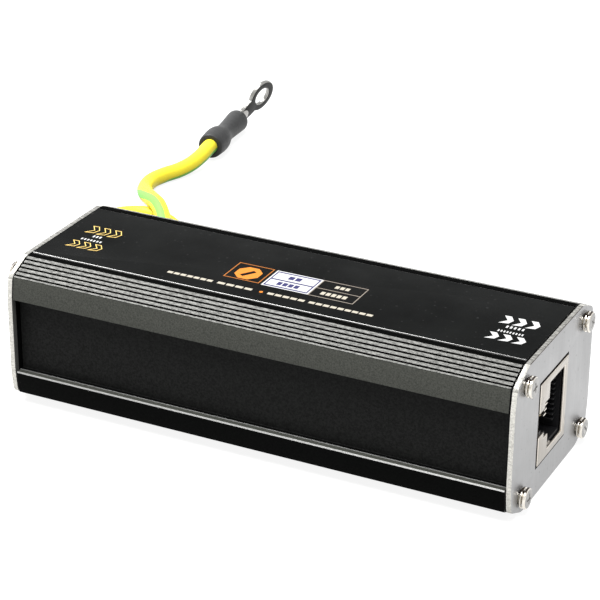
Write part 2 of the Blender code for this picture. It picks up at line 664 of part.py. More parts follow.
def smooth_path(route, spacing):
    """Points at an even spacing on a Catmull-Rom curve through the route."""
    guide = [route[0] * 2 - route[1]] + route + [route[-1] * 2 - route[-2]]
    steps = 16
    fine = []
    for a, b, c, d in zip(guide, guide[1:], guide[2:], guide[3:]):
        for i in range(steps):
            t = i / steps
            fine.append((b * 2 + (c - a) * t + (a * 2 - b * 5 + c * 4 - d) * t * t
                         + (b * 3 - a - c * 3 + d) * t ** 3) / 2)
    fine.append(route[-1])
    travelled = [0.0]
    for before, after in zip(fine, fine[1:]):
        travelled.append(travelled[-1] + (after - before).length)
    count = round(travelled[-1] / spacing)
    path, at = [fine[0]], 0
    for i in range(1, count):
        goal = travelled[-1] * i / count
        while travelled[at + 1] < goal:
            at += 1
        share = (goal - travelled[at]) / (travelled[at + 1] - travelled[at])
        path.append(fine[at].lerp(fine[at + 1], share))
    path.append(fine[-1])
    return path


def build_earth_lead():
    """The free lead, from the grommet's outer face to the middle of its sleeve."""
    exit_x = -(PLATE_OUTER_X + GAP + GROMMET_LIP + GAP)
    route = [Vector((exit_x, LEAD_EXIT_Y, MID_HEIGHT))] + [Vector(point) for point in LEAD_ROUTE]
    wire("earth_lead", smooth_path(route, LEAD_POINT_SPACING))


def terminal_place():
    """The sleeve's frame: its origin is the wire's end and +X runs to the ring."""
    end = Matrix.Translation(LEAD_ROUTE[-1])
    return end @ Matrix.Rotation(TERMINAL_HEADING, 4, "Z") @ Matrix.Rotation(TERMINAL_DIP, 4, "Y")


def build_sleeve():
    """The shrunk sleeve over the wire's end and the terminal's barrel."""
    bore = LEAD_RADIUS + GAP
    start = -SLEEVE_OVER_WIRE
    end = start + SLEEVE_LENGTH
    waist = start + SLEEVE_WAIST
    middle = (SLEEVE_WIDE_RADIUS + SLEEVE_NARROW_RADIUS) / 2
    outer = [(SLEEVE_NARROW_RADIUS, end), (SLEEVE_NARROW_RADIUS, waist + SLEEVE_RUN_OUT),
             (middle, waist + SLEEVE_STEP), (SLEEVE_WIDE_RADIUS, waist - SLEEVE_STEP),
             (SLEEVE_WIDE_RADIUS, start)]
    profile = [(bore, end)] + outer + [(bore, start), (bore, end)]
    place = terminal_place() @ Matrix.Rotation(math.pi / 2, 4, "Y")
    turned("shrink_sleeve", profile, place, black_plastic())


def build_ring_terminal():
    """A crimp terminal: a round barrel in the sleeve and a flat tongue with a ring, bent up and turned."""
    neck_x = SLEEVE_LENGTH - SLEEVE_OVER_WIRE + BARREL_OUT
    half = TONGUE_WIDTH / 2
    root = TONGUE_ROOT_WIDTH / 2
    opening = math.asin(half / RING_RADIUS)
    steps = 28
    angles = [math.pi - opening - (2 * math.pi - 2 * opening) * i / steps for i in range(steps + 1)]
    edge = [(-TONGUE_ROOT, -root), (-TONGUE_ROOT, root), (TONGUE_SHOULDER, half)]
    edge += [(TONGUE_LENGTH + RING_RADIUS * math.cos(a), RING_RADIUS * math.sin(a)) for a in angles]
    edge += [(TONGUE_SHOULDER, -half)]
    hole = circle(RING_HOLE_RADIUS, (TONGUE_LENGTH, 0.0))
    twisted = terminal_place() @ Matrix.Rotation(TERMINAL_TWIST, 4, "X")
    bent = twisted @ Matrix.Translation((neck_x, 0, 0)) @ Matrix.Rotation(-TONGUE_BEND, 4, "Y")
    bent = bent @ Matrix.Rotation(RING_TURN, 4, "X")
    tongue = as_mesh(outline_solid("tongue_form", [edge, hole], TONGUE_THICKNESS, bent, None))
    barrel_length = neck_x - GAP
    bpy.ops.mesh.primitive_cylinder_add(vertices=ROUND_STEPS, radius=BARREL_RADIUS, depth=barrel_length)
    barrel = bpy.context.object
    barrel.name = "ring_terminal"
    along = Matrix.Translation((GAP + barrel_length / 2, 0, 0)) @ Matrix.Rotation(math.pi / 2, 4, "Y")
    barrel.matrix_world = twisted @ along
    keep(barrel, tin())
    combine(barrel, tongue, "UNION")


def main():
    start_scene()
    build_housing()
    build_name_plate()
    build_end_plates()
    build_fasteners()
    build_sockets()
    build_board()
    build_earth_parts()
    build_earth_lead()
    build_sleeve()
    build_ring_terminal()


main()
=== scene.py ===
"""Ethernet surge protector: its ribbed body, plates, sockets, fasteners, printed marks and earth lead.

Metres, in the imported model's own frame: +X to the protected socket, +Y to the back, +Z up.
"""

import math

import bmesh
import bpy
from mathutils import Matrix, Vector


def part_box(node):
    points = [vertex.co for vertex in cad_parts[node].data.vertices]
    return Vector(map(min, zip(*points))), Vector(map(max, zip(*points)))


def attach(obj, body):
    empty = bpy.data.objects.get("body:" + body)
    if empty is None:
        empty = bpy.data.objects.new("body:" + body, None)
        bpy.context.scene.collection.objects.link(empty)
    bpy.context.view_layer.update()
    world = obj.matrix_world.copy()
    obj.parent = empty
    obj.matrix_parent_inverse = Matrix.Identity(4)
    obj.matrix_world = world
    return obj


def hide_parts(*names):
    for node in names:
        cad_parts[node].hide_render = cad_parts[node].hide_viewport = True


bl_info = {
    "name": "Ethernet surge protector",
    "version": (1, 0, 0),
    "blender": (4, 5, 0),
    "location": "3D View > Sidebar > Surge Protector",
    "description": "Builds the dressed pieces of an inline network surge protector around its CAD frame",
    "category": "Object",
}

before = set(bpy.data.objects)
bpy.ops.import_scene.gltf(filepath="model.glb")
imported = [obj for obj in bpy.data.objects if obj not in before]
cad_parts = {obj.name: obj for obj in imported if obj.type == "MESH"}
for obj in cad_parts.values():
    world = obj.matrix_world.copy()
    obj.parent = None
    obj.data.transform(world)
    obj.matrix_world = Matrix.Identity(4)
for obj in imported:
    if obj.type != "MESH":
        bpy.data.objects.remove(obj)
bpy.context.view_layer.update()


def corners(node):
    """The lower and upper corner of a node's box."""
    return [Vector(corner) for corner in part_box(node)]


BODY_LOW, BODY_HIGH = corners("housing")
NAME_LOW, NAME_HIGH = corners("name_plate")
PLATE_LOW, PLATE_HIGH = corners("end_plate_out")
SHIELD_LOW, SHIELD_HIGH = corners("socket_shield_out")
GROMMET_LOW, GROMMET_HIGH = corners("grommet")
WASHER_LOW, WASHER_HIGH = corners("lock_washer_out_1")
HEAD_LOW, HEAD_HIGH = corners("end_screw_out_1")

MM = 0.001
MID_HEIGHT = (BODY_LOW.z + BODY_HIGH.z) / 2
SOCKET_CENTRE = (SHIELD_LOW + SHIELD_HIGH) / 2
SHIELD_HALF = (SHIELD_HIGH - SHIELD_LOW) / 2
GROMMET_CENTRE = (GROMMET_LOW + GROMMET_HIGH) / 2
ENDS = (("out", 1), ("in", -1))

# Route of the free earth lead, from the grommet to the middle of its sleeve
LEAD_ROUTE = (
    (-0.0521, 0.011725, 0.01425),
    (-0.0575, 0.0120, 0.0141), (-0.0632, 0.0146, 0.0121), (-0.0677, 0.0204, 0.0085),
    (-0.0709, 0.0280, 0.0047), (-0.0738, 0.0364, 0.0025), (-0.0766, 0.0448, 0.00188),
    (-0.0786, 0.0526, 0.00185), (-0.0789, 0.0598, 0.00185), (-0.0768, 0.0655, 0.00185),
    (-0.0721, 0.0683, 0.00185), (-0.0666, 0.0673, 0.00185), (-0.0604, 0.0632, 0.00185),
    (-0.0534, 0.0588, 0.00185), (-0.0462, 0.0554, 0.00185), (-0.0396, 0.0520, 0.00185),
    (-0.0350, 0.0478, 0.00185), (-0.0338, 0.0418, 0.00185), (-0.0369, 0.0364, 0.00185),
    (-0.0430, 0.0341, 0.00185), (-0.0491, 0.0363, 0.0019), (-0.0536, 0.0422, 0.0021),
    (-0.0567, 0.0489, 0.0028), (-0.0595, 0.0550, 0.0041), (-0.0630, 0.0605, 0.0053),
    (-0.0673, 0.0659, 0.0058), (-0.0720, 0.0709, 0.0047), (-0.0762, 0.0758, 0.0033),
    (-0.0794, 0.0809, 0.0022), (-0.0809, 0.0862, 0.00185), (-0.0801, 0.0908, 0.00185),
    (-0.0784, 0.0949, 0.00195), (-0.0772, 0.0988, 0.0024), (-0.0767, 0.1026, 0.0031),
    (-0.0769, 0.1062, 0.0036), (-0.0774, 0.1096, 0.0036), (-0.0779, 0.1130, 0.0035),
)
# Turns of the terminal in degrees
TERMINAL_HEADING = 98.5     # from +X towards +Y
TERMINAL_DIP = 1.0
TERMINAL_TWIST = 38.0       # turns the bend's side about the sleeve
TONGUE_BEND = 48.0
RING_TURN = 63.0            # turns the ring about the tongue

# Camera
CAMERA_PLACE = Vector((0.1622, -0.3284, 0.1957))
CAMERA_RIGHT = Vector((0.8958, 0.4445, 0.0073))
CAMERA_UP = Vector((-0.1943, 0.3768, 0.9057))
LENS_MM = 132.2
SENSOR_MM = 36.0


# Settings


def label(name):
    return name.replace("_", " ").capitalize()


def lengths(rows):
    """Length properties from rows of name, description and default in millimetres."""
    return {name: bpy.props.FloatProperty(
        name=label(name), description=about, default=value * MM, min=0.0, precision=6, unit="LENGTH",
        subtype="DISTANCE") for name, about, value in rows}


def colours(rows):
    """Colour properties from rows of name, description and default in linear light."""
    return {name: bpy.props.FloatVectorProperty(
        name=label(name), description=about, default=value, min=0.0, max=1.0, size=3, subtype="COLOR")
        for name, about, value in rows}


class BodySizes(bpy.types.PropertyGroup):
    """Sizes of the extruded body and the plates on it."""

    __annotations__ = lengths((
        ("shoulder_run", "Shoulder's width, from the top flat to the band", 5.15),
        ("shoulder_drop", "How far a shoulder falls across its width", 2.3),
        ("band_height", "Plain band between a shoulder and the side channel", 4.5),
        ("band_lean", "How far a band leans in at its shoulder", 0.55),
        ("channel_depth", "Depth of the channel in each side", 2.2),
        ("wall", "Thickness of the body's wall behind the channel", 1.8),
        ("groove_width", "Width of a shoulder groove", 0.34),
        ("groove_depth", "Depth of a shoulder groove", 0.42),
        ("first_groove", "First groove's middle from the shoulder's upper edge", 0.9),
        ("groove_pitch", "Distance between two grooves", 1.04),
        ("lip_width", "Bright chamfer along the channel's lower edge", 0.24),
        ("ledge_width", "Outer part of the channel's lower ledge", 1.2),
        ("ledge_line", "Width of the light line along the ledge", 0.18),
        ("ledge_step", "How far the ledge rises behind its line", 0.08),
        ("seat_depth", "Depth of the name plate's seat", 0.8),
        ("boss_radius", "Radius of the round boss at each screw", 2.4),
        ("opening_gap", "Dark gap round a socket in its end plate", 0.4),
        ("plate_corner", "Rounding of the end plates' corners", 0.9),
        ("plate_round", "Rounding of the end plates' rims", 0.14),
        ("edge_round", "Rounding of the extrusion's long edges", 0.09),
    ))


class FastenerSizes(bpy.types.PropertyGroup):
    """Sizes of the end screws and their lock washers."""

    __annotations__ = lengths((
        ("inset_y", "Screw centres in from the body's sides", 4.95),
        ("inset_z", "Screw centres in from the body's top and underside", 3.45),
        ("shank_radius", "Radius of a screw's shank", 1.25),
        ("shank_length", "Length of a screw's shank, with its 0.6 mm point", 8.0),
        ("hole_radius", "Radius of a screw hole in a plate", 1.55),
        ("recess_width", "Width of one arm of the cross recess", 0.42),
        ("recess_length", "Length of the cross recess", 2.1),
        ("recess_depth", "Depth of the cross recess", 0.25),
        ("head_height", "Height of a screw's head", 0.65),
        ("washer_section", "Thickness of a lock washer's wire", 0.26),
        ("washer_rise", "How far a lock washer's end stands above its start", 0.09),
        ("washer_slit", "Gap between a lock washer's two ends", 0.4),
    ))


class SocketSizes(bpy.types.PropertyGroup):
    """Sizes of a shielded network socket."""

    __annotations__ = lengths((
        ("sheet", "Thickness of the shield's sheet", 0.4),
        ("spring_sheet", "Thickness of the shield's spring tongues", 0.22),
        ("mouth_half", "Half of the mouth, upright", 6.6),
        ("mouth_front", "Mouth's latch side in front of the socket's middle", 2.3),
        ("mouth_rear", "Mouth's contact side behind the socket's middle", 5.3),
        ("step_half", "Half of the wider latch step", 3.5),
        ("step_front", "Latch step in front of the socket's middle", 4.3),
        ("slot_half", "Half of the latch slot", 2.4),
        ("face_round", "Rounding of the mouth's face", 0.18),
        ("comb_pitch", "Distance between two walls of the contact comb", 1.02),
    ))


class LeadSizes(bpy.types.PropertyGroup):
    """Sizes of the earth lead, its sleeve, its terminal and its grommet."""

    __annotations__ = lengths((
        ("wire_radius", "Outside radius of the insulated wire", 1.8),
        ("sleeve_length", "Length of the shrunk sleeve", 20.1),
        ("sleeve_over_wire", "How much of the wire the sleeve covers", 4.8),
        ("barrel_radius", "Radius of the terminal's crimp barrel", 1.8),
        ("barrel_out", "How far the barrel stands out of the sleeve", 1.8),
        ("tongue_length", "From the bend to the ring's centre", 8.0),
        ("tongue_width", "Width of the terminal's tongue", 4.6),
        ("tongue_thickness", "Thickness of the terminal's tongue", 1.0),
        ("tongue_round", "Rounding of the terminal's stamped edges", 0.26),
        ("ring_radius", "Outer radius of the terminal's ring", 4.2),
        ("ring_hole", "Radius of the ring's hole", 2.3),
        ("grommet_hole", "Radius of the lead's hole in its end plate", 3.0),
        ("grommet_neck", "Radius of the grommet in that hole", 2.7),
        ("grommet_catch", "Radius of the grommet's lip behind the plate", 3.2),
    ))


class FinishColours(bpy.types.PropertyGroup):
    """Colours of the finishes, in linear light."""

    __annotations__ = colours((
        # rib: the crests painted lighter than the bands, a painted highlight on the one anodised finish; the
        # grooves between them take black painted shade
        ("rib", "Blasted crests of the shoulder ribs", (0.145, 0.145, 0.137)),
        ("band", "Blasted bands beside the ribs", (0.053, 0.055, 0.0475)),
        # The channel floor is painted far darker than the bands, partly as the shade in the recess
        ("channel", "Grained floor of the side channels", (0.0080, 0.0083, 0.0080)),
        # black: painted shade on the extrusion's grooves, lower bands, channel walls and inner ledges, and
        # in the end plates' openings and the middle of their backs
        ("black", "Plain black parts of the extrusion", (0.003, 0.0032, 0.003)),
        ("inside", "Inner walls and cut ends of the extrusion", (0.03, 0.03, 0.03)),
        ("lip", "Bright cut edges of the extrusion", (0.42, 0.42, 0.41)),
        ("film", "Black print of the name plate", (0.0060, 0.0063, 0.0062)),
        ("film_edge", "Bright long edges of the name plate", (0.22, 0.22, 0.215)),
        ("plate", "Satin faces of the end plates", (0.40, 0.40, 0.402)),
        # plate_back: the plates' inner faces, painted darker than their satin faces as shade
        ("plate_back", "Inner faces of the end plates", (0.11, 0.11, 0.104)),
        ("cut_edge", "Speckled cut edges of the end plates", (0.77, 0.755, 0.70)),
        ("nickel", "Screws and washers", (0.78, 0.74, 0.67)),
        # head_face: flat head tops painted darker than the nickel sides, a painted dark reflection
        ("head_face", "Flat tops of the screw heads", (0.40, 0.395, 0.385)),
        ("shield", "Socket shields", (0.43, 0.40, 0.36)),
        # tarnish: painted shade and dark reflection on the tops of the screws and washers, the shields'
        # sides and backs, and the plates' outer top rim
        ("tarnish", "Dark film on turned-away metal edges", (0.030, 0.022, 0.018)),
        ("gold", "Gold-flashed contacts", (0.85, 0.70, 0.46)),
        ("tin", "Ring terminal and earth lug", (0.34, 0.335, 0.32)),
        ("moulding", "Black moulded plastic", (0.010, 0.010, 0.011)),
        ("rubber", "Rubber grommet", (0.014, 0.014, 0.014)),
        ("yellow", "Yellow of the earth lead", (0.86, 0.73, 0.045)),
        ("green", "Green stripe of the earth lead", (0.20, 0.60, 0.09)),
        ("sleeve", "Shrunk sleeve", (0.030, 0.0305, 0.031)),
        ("orange", "Orange marks on the name plate", (0.52, 0.155, 0.004)),
        ("navy", "Dark blue marks on the name plate", (0.010, 0.009, 0.075)),
        ("white", "White marks on the name plate", (0.47, 0.47, 0.465)),
        ("amber", "Outlined arrows on the name plate", (0.66, 0.46, 0.13)),
        ("cream", "Pale bars on the name plate", (0.36, 0.33, 0.27)),
        ("grey", "Thin grey frame on the name plate", (0.20, 0.17, 0.14)),
        ("board", "Solder mask of the board", (0.015, 0.13, 0.05)),
        ("ceramic", "Gas tubes", (0.72, 0.74, 0.76)),
    ))


# Shader groups


def add_node(tree, kind, entries, **options):
    """A shader node with its options set, and its entries linked or given plain values."""
    node = tree.nodes.new("ShaderNode" + kind)
    for name, value in options.items():
        setattr(node, name, value)
    for name, given in entries.items():
        if isinstance(given, bpy.types.NodeSocket):
            tree.links.new(given, node.inputs[name])
        else:
            node.inputs[name].default_value = given
    return node


def math_node(tree, operation, *values):
    """The result of a math node on links or numbers."""
    return add_node(tree, "Math", dict(enumerate(values)), operation=operation).outputs[0]


def noise_node(tree, vector, scale, detail=2.0, roughness=0.5):
    """The factor of a noise on a vector."""
    entries = {"Vector": vector, "Scale": scale, "Detail": detail, "Roughness": roughness}
    return add_node(tree, "TexNoise", entries).outputs["Fac"]


def stretch_node(tree, value, low, high):
    """Spreads the values between low and high over 0 to 1."""
    return add_node(tree, "MapRange", {"Value": value, "From Min": low, "From Max": high}).outputs["Result"]


def new_group(name, values, results):
    """A shader group of a vector and plain values. Returns it, its inputs and its outputs."""
    group = bpy.data.node_groups.new(name, "ShaderNodeTree")
    group.interface.new_socket(name="Vector", in_out="INPUT", socket_type="NodeSocketVector")
    for entry, default in values.items():
        made = group.interface.new_socket(name=entry, in_out="INPUT", socket_type="NodeSocketFloat")
        made.default_value = default
    for entry in results:
        group.interface.new_socket(name=entry, in_out="OUTPUT", socket_type="NodeSocketFloat")
    return group, group.nodes.new("NodeGroupInput").outputs, group.nodes.new("NodeGroupOutput").inputs


def grain_group():
    """Fine grain of a blasted or moulded face. Mask is 0 in its pits and 1 on its bright points."""
    group, given, put = new_group("fine_grain", {"Scale": 3000.0, "Softness": 0.2}, ("Mask", "Height"))
    coarse = noise_node(group, given["Vector"], given["Scale"], 2.0, 0.6)
    fine = noise_node(group, given["Vector"], math_node(group, "MULTIPLY", given["Scale"], 2.7), 1.0)
    mixed = math_node(group, "ADD", math_node(group, "MULTIPLY", coarse, 0.6),
                      math_node(group, "MULTIPLY", fine, 0.4))
    low = math_node(group, "SUBTRACT", 0.5, given["Softness"])
    high = math_node(group, "ADD", 0.5, given["Softness"])
    group.links.new(stretch_node(group, mixed, low, high), put["Mask"])
    group.links.new(mixed, put["Height"])
    return group


def cloud_group():
    """Slow unevenness of a film or a wiped face, and a few fine specks of dust on it."""
    group, given, put = new_group("clouds_and_dust", {"Size": 60.0, "Dust": 900.0}, ("Cloud", "Speck"))
    cloud = noise_node(group, given["Vector"], given["Size"], 4.0, 0.6)
    dust = noise_node(group, given["Vector"], given["Dust"], 0.0)
    group.links.new(stretch_node(group, cloud, 0.32, 0.68), put["Cloud"])
    group.links.new(stretch_node(group, dust, 0.77, 0.83), put["Speck"])
    return group


def scratch_group():
    """Fine straight marks of rolling or brushing, along the vector's X."""
    group, given, put = new_group("rolling_marks", {"Scale": 1200.0}, ("Marks",))
    drawn = add_node(group, "Mapping", {"Vector": given["Vector"], "Scale": (0.04, 1.0, 1.0)})
    marks = noise_node(group, drawn.outputs["Vector"], given["Scale"], 3.0, 0.7)
    group.links.new(stretch_node(group, marks, 0.35, 0.65), put["Marks"])
    return group


# Materials


UNTURNED = (0.0, 0.0, 0.0)
UPRIGHT = (0.0, math.radians(90), 0.0)
SLANT = (0.0, 0.0, math.radians(28))


def colour(name, share=1.0):
    """A finish colour of the settings, made lighter or darker."""
    return shade(tuple(getattr(bpy.context.scene.surge_colours, name)), share)


def shade(base, share):
    return tuple(min(channel * share, 1.0) for channel in base)


def new_material(name, roughness, metallic=0.0, specular=0.5):
    """A material with its shader's plain values set. Returns it, its tree and its shader's inputs."""
    made = bpy.data.materials.new(name)
    made.use_nodes = True
    entries = made.node_tree.nodes["Principled BSDF"].inputs
    entries["Roughness"].default_value = roughness
    entries["Metallic"].default_value = metallic
    entries["Specular IOR Level"].default_value = specular
    return made, made.node_tree, entries


def object_vector(tree, turn=UNTURNED, scale=(1.0, 1.0, 1.0)):
    """Object coordinates, turned and scaled."""
    where = tree.nodes.new("ShaderNodeTexCoord").outputs["Object"]
    return add_node(tree, "Mapping", {"Vector": where, "Rotation": turn, "Scale": scale}).outputs["Vector"]


def group_node(tree, group, vector, **values):
    """The outputs of a shader group with its own values."""
    return add_node(tree, "Group", {"Vector": vector, **values}, node_tree=group).outputs


def blend_colours(tree, factor, first, second):
    """A mix of two colours, each a link or three numbers."""
    first, second = ((*given, 1.0) if isinstance(given, tuple) else given for given in (first, second))
    return add_node(tree, "Mix", {0: factor, 6: first, 7: second}, data_type="RGBA").outputs[2]


def dress(tree, entries, base, height, depth, spread=None):
    """Links a finish's colour, its bump with a depth in millimetres, and its roughness if it varies."""
    tree.links.new(base, entries["Base Color"])
    bump = add_node(tree, "Bump", {"Distance": depth * MM, "Height": height})
    tree.links.new(bump.outputs["Normal"], entries["Normal"])
    if spread:
        tree.links.new(spread, entries["Roughness"])


def grained(groups, name, base, roughness, metallic=0.0, specular=0.5, scale=3000.0, softness=0.2,
            dark=0.7, light=1.3, depth=0.03, stretch=None):
    """A blasted, moulded or cast finish: fine grain in its colour, roughness and bump."""
    made, tree, entries = new_material(name, roughness, metallic, specular)
    vector = object_vector(tree, SLANT, stretch) if stretch else object_vector(tree)
    grain = group_node(tree, groups["grain"], vector, Scale=scale, Softness=softness)
    cloud = group_node(tree, groups["cloud"], vector, Size=90.0, Dust=scale * 0.4)
    fine = blend_colours(tree, grain["Mask"], shade(base, dark), shade(base, light))
    slow = blend_colours(tree, cloud["Cloud"], shade(base, 0.93), shade(base, 1.07))
    spread = math_node(tree, "MULTIPLY_ADD", grain["Mask"], -0.12, roughness + 0.06)
    dress(tree, entries, blend_colours(tree, 0.3, fine, slow), grain["Height"], depth, spread)
    return made


def film_material(groups):
    """Satin black print of the name plate, a little cloudy, with fine dust."""
    made, tree, entries = new_material("name_plate_film", 0.45, 0.0, 0.006)
    vector = object_vector(tree)
    cloud = group_node(tree, groups["cloud"], vector, Size=55.0, Dust=1500.0)
    grain = group_node(tree, groups["grain"], vector, Scale=2600.0, Softness=0.25)
    sheen = blend_colours(tree, cloud["Cloud"], colour("film", 0.62), colour("film", 1.5))
    speckled = blend_colours(tree, grain["Mask"], colour("film", 0.8), colour("film", 1.25))
    half = blend_colours(tree, 0.35, sheen, speckled)
    dusted = blend_colours(tree, cloud["Speck"], half, (0.018, 0.018, 0.018))
    spread = math_node(tree, "MULTIPLY_ADD", cloud["Cloud"], -0.10, 0.47)
    dress(tree, entries, dusted, grain["Height"], 0.006, spread)
    return made


def rolled(groups, name, base, roughness, scale=1200.0, turn=UNTURNED, contrast=0.05, metallic=1.0):
    """Sheet or plated metal with faint rolling marks and slow stains."""
    made, tree, entries = new_material(name, roughness, metallic)
    vector = object_vector(tree, turn)
    marks = group_node(tree, groups["marks"], vector, Scale=scale)
    cloud = group_node(tree, groups["cloud"], vector, Size=130.0, Dust=1400.0)
    lined = blend_colours(tree, marks["Marks"], shade(base, 1 - contrast), shade(base, 1 + contrast))
    stained = blend_colours(tree, cloud["Speck"], lined, shade(base, 0.72))
    spread = math_node(tree, "MULTIPLY_ADD", cloud["Cloud"], 0.10, roughness - 0.05)
    dress(tree, entries, stained, marks["Marks"], 0.004, spread)
    return made


def printed(groups, name, base):
    """Screen-printed ink: flat, a little uneven at its own grain."""
    made, tree, entries = new_material(name, 0.5, 0.0, 0.25)
    grain = group_node(tree, groups["grain"], object_vector(tree), Scale=5200.0, Softness=0.3)
    ink = blend_colours(tree, grain["Mask"], shade(base, 0.9), shade(base, 1.05))
    dress(tree, entries, ink, grain["Height"], 0.004)
    return made


def insulation_material(groups, stripe_half=0.085):
    """Yellow insulation with one green stripe, which follows the wire's own UV map."""
    made, tree, entries = new_material("earth_insulation", 0.42, 0.0, 0.15)
    where = add_node(tree, "UVMap", {}, uv_map="along").outputs["UV"]
    around = add_node(tree, "SeparateXYZ", {"Vector": where}).outputs["X"]
    grain = group_node(tree, groups["grain"], object_vector(tree), Scale=900.0, Softness=0.25)
    from_stripe = math_node(tree, "ABSOLUTE", math_node(tree, "SUBTRACT", around, 0.5))
    ragged = math_node(tree, "MULTIPLY_ADD", grain["Height"], 0.01, from_stripe)
    stripe = stretch_node(tree, ragged, stripe_half + 0.012, stripe_half - 0.004)
    body = blend_colours(tree, grain["Mask"], colour("yellow", 0.95), colour("yellow", 1.03))
    dress(tree, entries, blend_colours(tree, stripe, body, colour("green")), grain["Height"], 0.04)
    return made


def board_material(groups):
    """Green solder mask over faint tracks."""
    made, tree, entries = new_material("board_mask", 0.38, 0.0, 0.5)
    turned = object_vector(tree, (math.radians(90), 0.0, 0.0))
    cells = add_node(tree, "TexBrick", {"Vector": turned, "Scale": 260.0, "Mortar Size": 0.09})
    tracks = blend_colours(tree, cells.outputs["Fac"], colour("board"), colour("board", 1.9))
    grain = group_node(tree, groups["grain"], object_vector(tree), Scale=2200.0, Softness=0.3)
    dress(tree, entries, tracks, grain["Height"], 0.01)
    return made


FINISHES = {}
# Finishes in a lighter or darker tone of another one's colour. The top flat, the plates' top and shoulder
# edges and the terminal's flat faces are darker copies that paint shade and dark reflection; the shield's
# edges are a lighter copy that paints a highlight; the ledge line and the orange frame keep their own tones
SHADES = {"flat": ("black", 0.3), "soft_lip": ("lip", 0.45), "cut_top": ("cut_edge", 0.22),
          "cut_slope": ("cut_edge", 0.5), "shield_edge": ("shield", 1.6), "dull_tin": ("tin", 0.05),
          "orange_line": ("orange", 0.60)}
# Name, roughness, metallic, specular, scale, softness, dark, light, depth in millimetres, stretch
GRAINED = (
    ("rib", 0.6, 0.1, 0.12, 2300, 0.09, 0.4, 1.6, 0.02, (0.55, 1.6, 1.6)),
    ("band", 0.52, 0.0, 0.2, 3600, 0.12, 0.55, 1.6),
    ("channel", 0.55, 0.0, 0.08, 2600, 0.10, 0.4, 1.9, 0.04),
    ("black", 0.5, 0.0, 0.015, 2700, 0.15, 0.5, 1.6),
    ("flat", 0.5, 0.0, 0.004, 2700, 0.15, 0.5, 1.6),
    ("lip", 0.35, 0.9, 0.5, 3500, 0.2, 0.75, 1.15),
    ("soft_lip", 0.45, 0.5, 0.5, 3500, 0.2, 0.7, 1.2),
    ("inside", 0.5, 0.3, 0.4, 2500),
    ("cut_edge", 0.5, 0.4, 0.4, 2600, 0.14, 0.62, 1.2, 0.05, (0.6, 1.5, 1.0)),
    ("cut_top", 0.5, 0.2, 0.3, 1500, 0.07, 0.35, 1.6, 0.05, (0.45, 1.6, 1.0)),
    ("cut_slope", 0.5, 0.3, 0.3, 2000, 0.10, 0.55, 1.3, 0.05, (0.6, 1.5, 1.0)),
    ("plate_back", 0.5, 0.3, 0.4, 2600, 0.16),
    ("tarnish", 0.5, 0.3, 0.2, 2400, 0.2, 0.6, 1.5),
    ("moulding", 0.42, 0.0, 0.35, 4200, 0.25, 0.8, 1.25, 0.01),
    ("rubber", 0.68, 0.0, 0.3, 3500),
    ("sleeve", 0.45, 0.0, 0.2, 900, 0.25, 0.85, 1.15, 0.08),
    ("ceramic", 0.35, 0.0, 0.5, 1800, 0.3, 0.92, 1.05),
)
# Name, roughness, scale of the marks, their turn, contrast, metallic
ROLLED = (
    ("film_edge", 0.42),
    ("plate", 0.46, 1000, UPRIGHT, 0.025),
    ("head_face", 0.42, 1600, UPRIGHT, 0.04),
    ("nickel", 0.2, 1600, UPRIGHT, 0.06),
    ("shield", 0.3, 1300, UPRIGHT),
    ("shield_edge", 0.3, 1300, UPRIGHT),
    ("gold", 0.35, 1500, UNTURNED, 0.05, 0.35),
    ("tin", 0.24, 900, UNTURNED, 0.08),
    ("dull_tin", 0.34, 700, UNTURNED, 0.35),
)
INKS = ("orange", "orange_line", "navy", "white", "amber", "cream", "grey")


def make_materials():
    """Fills FINISHES with every material of the object."""
    groups = {"grain": grain_group(), "cloud": cloud_group(), "marks": scratch_group()}
    for make, rows in ((grained, GRAINED), (rolled, ROLLED), (printed, [(ink,) for ink in INKS])):
        for name, *row in rows:
            FINISHES[name] = make(groups, name, colour(*SHADES.get(name, (name,))), *row)
    for name, make in (("film", film_material), ("insulation", insulation_material),
                       ("board", board_material)):
        FINISHES[name] = make(groups)


# Shapes


def turn(degrees, axis):
    return Matrix.Rotation(math.radians(degrees), 4, axis)


def shift(x=0.0, y=0.0, z=0.0):
    return Matrix.Translation((x, y, z))


def fresh_loop(bm, points, axis="X", level=0.0):
    """A closed loop of edges through the points. They are Y and Z for the X axis, X and Y for the Z axis."""
    verts = [bm.verts.new((level, u, v) if axis == "X" else (u, v, level)) for u, v in points]
    for pair in zip(verts, verts[1:] + verts[:1]):
        bm.edges.new(pair)
    return verts


def round_loop(bm, centre, radius, segments, axis="X", level=0.0):
    """A round loop of edges."""
    place = shift(level, *centre) @ turn(90, "Y") if axis == "X" else shift(*centre, level)
    bmesh.ops.create_circle(bm, segments=segments, radius=radius, matrix=place)


def bevel(bm, geom, width, segments=2, affect="EDGES"):
    bmesh.ops.bevel(bm, geom=geom, offset=width, offset_type="OFFSET", segments=segments, profile=0.5,
                    affect=affect, clamp_overlap=True, material=-1)


def soften_corners(bm, verts, *rounds):
    """Rounds corners of one flat loop, by corners, width and segments, before more is drawn in the bmesh."""
    bm.faces.new(verts)
    for corners, width, segments in rounds:
        bevel(bm, corners, width, segments, "VERTICES")
    bmesh.ops.delete(bm, geom=bm.faces[:], context="FACES_ONLY")


def tidy_normals(bm):
    bmesh.ops.recalc_face_normals(bm, faces=bm.faces[:])


def verts_in(geom):
    return [item for item in geom if isinstance(item, bmesh.types.BMVert)]


def raise_flat(bm, move):
    """Fills the loops, with the inner ones as holes, and raises them into a closed solid."""
    bmesh.ops.triangle_fill(bm, use_beauty=True, edges=bm.edges[:])
    raised = bmesh.ops.extrude_face_region(bm, geom=bm.faces[:])
    bmesh.ops.translate(bm, vec=move, verts=verts_in(raised["geom"]))
    tidy_normals(bm)


